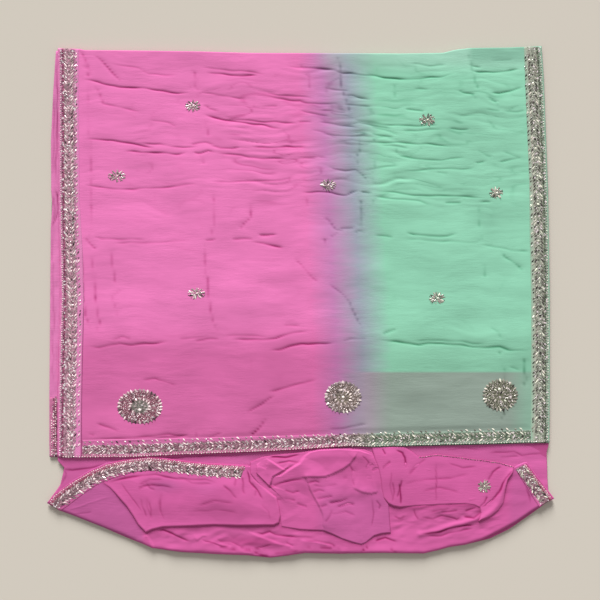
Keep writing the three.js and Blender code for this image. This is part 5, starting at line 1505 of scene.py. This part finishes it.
set_stones("border_tail_stones", vine(tail_vine, 9.4, on_flap, 5.4, .75) + vine(tip_vine, 8.6, on_flap, 4.8, .5)
           + [bead_row(even_points(line, at) + offset, pitch, on_flap, size, tone)
              for line, at, offset, pitch, size, tone in (
                  (TAIL_HEM, np.linspace(.01, 1, 90), (.5, 1.4), 2.2, (1.3, 1.2, .5), (.6, 1)),
                  (TAIL_HEM, np.linspace(.35, 1, 60), (.2, 3.2), 2.4, (1.2, 1.2, .5), (.4, .9)),
                  (TIP_HEM, np.linspace(.03, .97, 20), (-1.4, .9), 2.4, (1.2, 1.2, .5), (.5, .9)),
                  (TIP_HEM, np.linspace(.03, .97, 20), (-3.2, 2), 2.6, (1.1, 1.1, .4), (.1, .5)))])
set_stones("border_under_stones",
           [bead_row(line_down(UNDER_LEFT, 2.4, 420, 456), 2.4, on_under, (1.4, 1.4, .5), (.4, 1)),
            bead_row(line_down(PALLU_LEFT, -2.2, 396, 456), 2.2, on_under, (1.4, 1.2, .5), (.2, 1)),
            bead_row(line_down(PALLU_LEFT, -4.2, 410, 456), 3.1, on_under, (1.6, 1.4, .5), (.1, .9))])
TRIM = (418.6, 457.6, 426, 456.8, 436, 455.2, 449.3, 456.5, 465.8, 458.7, 482.4, 460.7, 499, 463, 507.3, 465.4,
        513.5, 467)
trim = bead_row(TRIM, 1.5, lambda a, d: right_top(a, d) - 0.6, (1.6, 0.9, .4), (0, .35))
set_stones("trim_stitches", [trim], ["trim_tail_right"])


# ---------- Medallions and butis ----------
# Three round medallions by the end and eight small scattered flowers, all of the same stones. A medallion is worked
# on a disc of net that is sewn to the pallu, and a flower straight on the cloth.
DISC_RINGS, DISC_SPOKES, DISC_RIM = 12, 72, 0.95
DISC_DEPTH = 0.0012     # metres from the disc's rim down to its hidden underside


def disc_material(name, heart, net, rim):
    """Net under looped beadwork: the heart's colour, the ring's and the rim's, by the share of the way out."""
    material, tree, surface = new_material(name, **NET_FINISH)
    stripes = ((0, .32, heart), (.45, .78, net), (DISC_RIM, DISC_RIM, rim))
    handwork = node(tree, "ShaderNodeGroup", node_tree=WORKED_NET, in_Work=0.85)
    tree.links.new(striped(tree, stripes, 1, mark_value(tree, "inward")), handwork.inputs["Ground"])
    tree.links.new(handwork.outputs["Colour"], surface.inputs["Base Color"])
    return material


def oval(across, down, wide, high, share, turn):
    """Places about a middle on an oval of a width and height, at a share of the way out and a turn in radians."""
    return across + share * wide / 2 * np.cos(turn), down - share * high / 2 * np.sin(turn)


def medallion_disc(name, across, down, wide, high, colours):
    """The net under a medallion: rings of points on the pallu, closed by a flat underside, with a hub above and one
    below."""
    share = np.linspace(0.05, DISC_RIM, DISC_RINGS)[:, None]
    turn = np.linspace(0, 2 * np.pi, DISC_SPOKES + 1)[None, :-1]
    disc_a, disc_d = oval(across, down, wide, high, share, turn)
    level = on_pallu(disc_a, disc_d) + NET_RISE * eased((0.97 - share) / 0.06)
    points = place(disc_a, disc_d, level).reshape(-1, 3)
    below = points[-DISC_SPOKES:] - (0, 0, DISC_DEPTH)
    points = np.concatenate([points, below, points[:DISC_SPOKES].mean(axis=0)[None], below.mean(axis=0)[None]])
    index = np.arange((DISC_RINGS + 1) * DISC_SPOKES).reshape(DISC_RINGS + 1, DISC_SPOKES)
    after = np.roll(index, -1, axis=1)
    walls = np.stack([index[:-1], index[1:], after[1:], after[:-1]], axis=-1).reshape(-1, 4)
    top_hub, low_hub = np.full(DISC_SPOKES, index.size), np.full(DISC_SPOKES, index.size + 1)
    caps = np.concatenate([np.stack([index[0], after[0], top_hub], axis=-1),
                           np.stack([after[-1], index[-1], low_hub], axis=-1)])
    inward = np.concatenate([np.repeat(np.append(share[:, 0], DISC_RIM), DISC_SPOKES), [0, DISC_RIM]])
    disc = make_piece(name + "_net", points, [walls, caps], disc_material(name + "_net", *colours),
                      marks={"inward": inward})
    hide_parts(name)


def medallion(name, across, down, wide, high, leaves, white, hearts, colours):
    """A net disc in an oval of the given width and height. Round it stand leaf stones pointing out; inside are four
    rings of beads, a ring of leaf stones, and a flower of grey stones about one or two round ones. The white shares,
    of stones painted white as glints, are those of the outer and the inner leaves, and each heart is a round stone's
    place, in shares, and its tone, white for a painted glint and near black for a painted dark reflection.
    The colours are the net's at the heart, in the ring and at the rim."""
    def ring(share, count):
        """Places with a height round a ring of stones, and the way out at each."""
        turn = np.arange(count) * 2 * np.pi / count + STONES.normal(0, .02, count)
        spot_a, spot_d = oval(across, down, wide, high, share, turn)
        height = on_pallu(spot_a, spot_d) + NET_RISE
        return np.column_stack([spot_a, spot_d, height]), np.arctan2(np.sin(turn) * wide, np.cos(turn) * high)

    medallion_disc(name, across, down, wide, high, colours)
    groups = []
    spot, heading = ring(.9, leaves)
    groups.append(stones(LEAF, spot, (4.0, 1.8, .42), heading + .2, mixed_tones(leaves, white[0])))
    for share in (.79, .7, .61, .52):
        count = int(leaves * 2.1 * share)
        spot, heading = ring(share, count)
        groups.append(stones(BEAD, spot, (1.3, 1.0, .35), heading, mixed_tones(count, .12)))
    spot, heading = ring(.42, leaves // 2)
    groups.append(stones(LEAF, spot, (3.8, 1.7, .42), heading + .35, mixed_tones(leaves // 2, white[1])))
    spot, heading = ring(.22, 8)
    groups.append(stones(LEAF, spot, (3.2, 1.7, .4), heading, STONES.uniform(.3, .6, 8)))
    places = np.array(hearts)
    spot_a, spot_d = across + places[:, 0] * wide / 2, down + places[:, 1] * high / 2
    spot = np.column_stack([spot_a, spot_d, on_pallu(spot_a, spot_d) + NET_RISE])
    groups.append(stones(ROUND, spot, (3.0, 2.8, .6), np.zeros(len(places)), places[:, 2]))
    set_stones(name + "_stones", groups)


medallion("medallion_left", 140, 406.4, 47, 36, 32, (.6, .8), ((0, .18, 1),),
          ((139, 133, 127), (157, 96, 116), (172, 118, 142)))
medallion("medallion_middle", 343, 397, 38, 33, 28, (.38, .5), ((0, 0, 1), (-.08, -.42, .95)),
          ((146, 134, 121), (139, 121, 116), (150, 130, 142)))
medallion("medallion_right", 500, 395, 36, 33, 28, (.22, .12), ((-.05, -.36, 1), (.05, -.16, .02)),
          ((122, 123, 103), (114, 117, 98), (128, 138, 122)))

BUTIS = (("buti_1", 193, 106, 17, 12), ("buti_2", 427, 120, 18, 13), ("buti_3", 117, 176, 20, 13),
         ("buti_4", 328, 185, 18, 12), ("buti_5", 496, 193, 15, 13), ("buti_6", 196.5, 293.5, 20, 12),
         ("buti_7", 437, 298, 18, 13), ("buti_8", 484, 486, 14, 14))


BED_RISE = 0.2          # height in millimetres of a flower's stones over the cloth


def buti(name, across, down, wide, high):
    """Twelve leaf stones spread from a round one over a bed of small dark stones."""
    surface = on_pallu if down < PALLU_END[-1][1] else right_top
    groups = []
    for share, count, shape, size, white in (
            (.66, 12, LEAF, (4.8, 1.5, .42), .14), (.4, 9, LEAF, (3.2, 1.3, .4), .02),
            (.5, 18, BEAD, (1.6, 1.3, .25), 0), (.84, 10, BEAD, (1.4, 1.1, .25), .04),
            (.2, 5, BEAD, (1.6, 1.4, .3), 0), (.05, 1, ROUND, (2.0, 1.8, .6), 1)):
        turn = (np.arange(count) + (.5 if shape is BEAD else 0)) * 2 * np.pi / count + STONES.normal(0, .14, count)
        spot_a, spot_d = oval(across, down, wide, high, share, turn)
        spot = np.column_stack([spot_a, spot_d, surface(spot_a, spot_d) + BED_RISE])
        heading = np.arctan2(np.sin(turn) * high, np.cos(turn) * wide)
        groups.append(stones(shape, spot, size, heading, mixed_tones(count, white)))
    set_stones(name + "_stones", groups, [name])


for flower in BUTIS:
    buti(*flower)


# ---------- Camera, light and floor ----------
# A plain pale floor, one broad soft light from beyond the fold, and a camera straight above the saree. The light
# has a little fill from all round, so that the folds' shadows stay open.
CAMERA_HEIGHT, CLOTH_HEIGHT = 2.2, 0.01     # metres; the view is fitted to the cloth's middle height
SEEN_STEPS, SENSOR = 600, 36                # what the square view takes in, and the sensor's width in millimetres
camera_data = bpy.data.cameras.new("camera")
camera_data.sensor_width = SENSOR
camera_data.lens = SENSOR * (CAMERA_HEIGHT - CLOTH_HEIGHT) / (SEEN_STEPS * STEP)
camera = bpy.data.objects.new("camera", camera_data)
camera.location = (x_of(SEEN_STEPS / 2), y_of(SEEN_STEPS / 2), CAMERA_HEIGHT)
bpy.context.scene.collection.objects.link(camera)
bpy.context.scene.camera = camera

# The window is broad and far off, so it lights the whole evenly and blurs each shadow over its own height.
window_data = bpy.data.lights.new("window", "SUN")
window_data.energy, window_data.angle = 4.95, math.radians(26)
window = bpy.data.objects.new("window", window_data)
window.rotation_euler = (math.radians(-66), math.radians(-10), 0)
bpy.context.scene.collection.objects.link(window)
world = bpy.data.worlds.new("studio")
world.use_nodes = True
sky = world.node_tree.nodes["Background"]
sky.inputs["Color"].default_value = (1, 0.98, 0.95, 1)
sky.inputs["Strength"].default_value = 0.4
bpy.context.scene.world = world
bpy.context.scene.view_settings.view_transform = "Standard"

FLOOR_REACH = 6.0       # metres from the middle to each side
floor_mesh = bpy.data.meshes.new("floor")
corners = [(across * FLOOR_REACH, along_side * FLOOR_REACH, 0)
           for across, along_side in ((-1, -1), (1, -1), (1, 1), (-1, 1))]
floor_mesh.from_pydata(corners, [], [(0, 1, 2, 3)])
floor = bpy.data.objects.new("floor", floor_mesh)
bpy.context.scene.collection.objects.link(floor)
floor_mesh.materials.append(new_material("floor_stone", Base_Color=shade(207, 200, 189), Roughness=0.9,
                                         Specular_IOR_Level=0.0)[0])
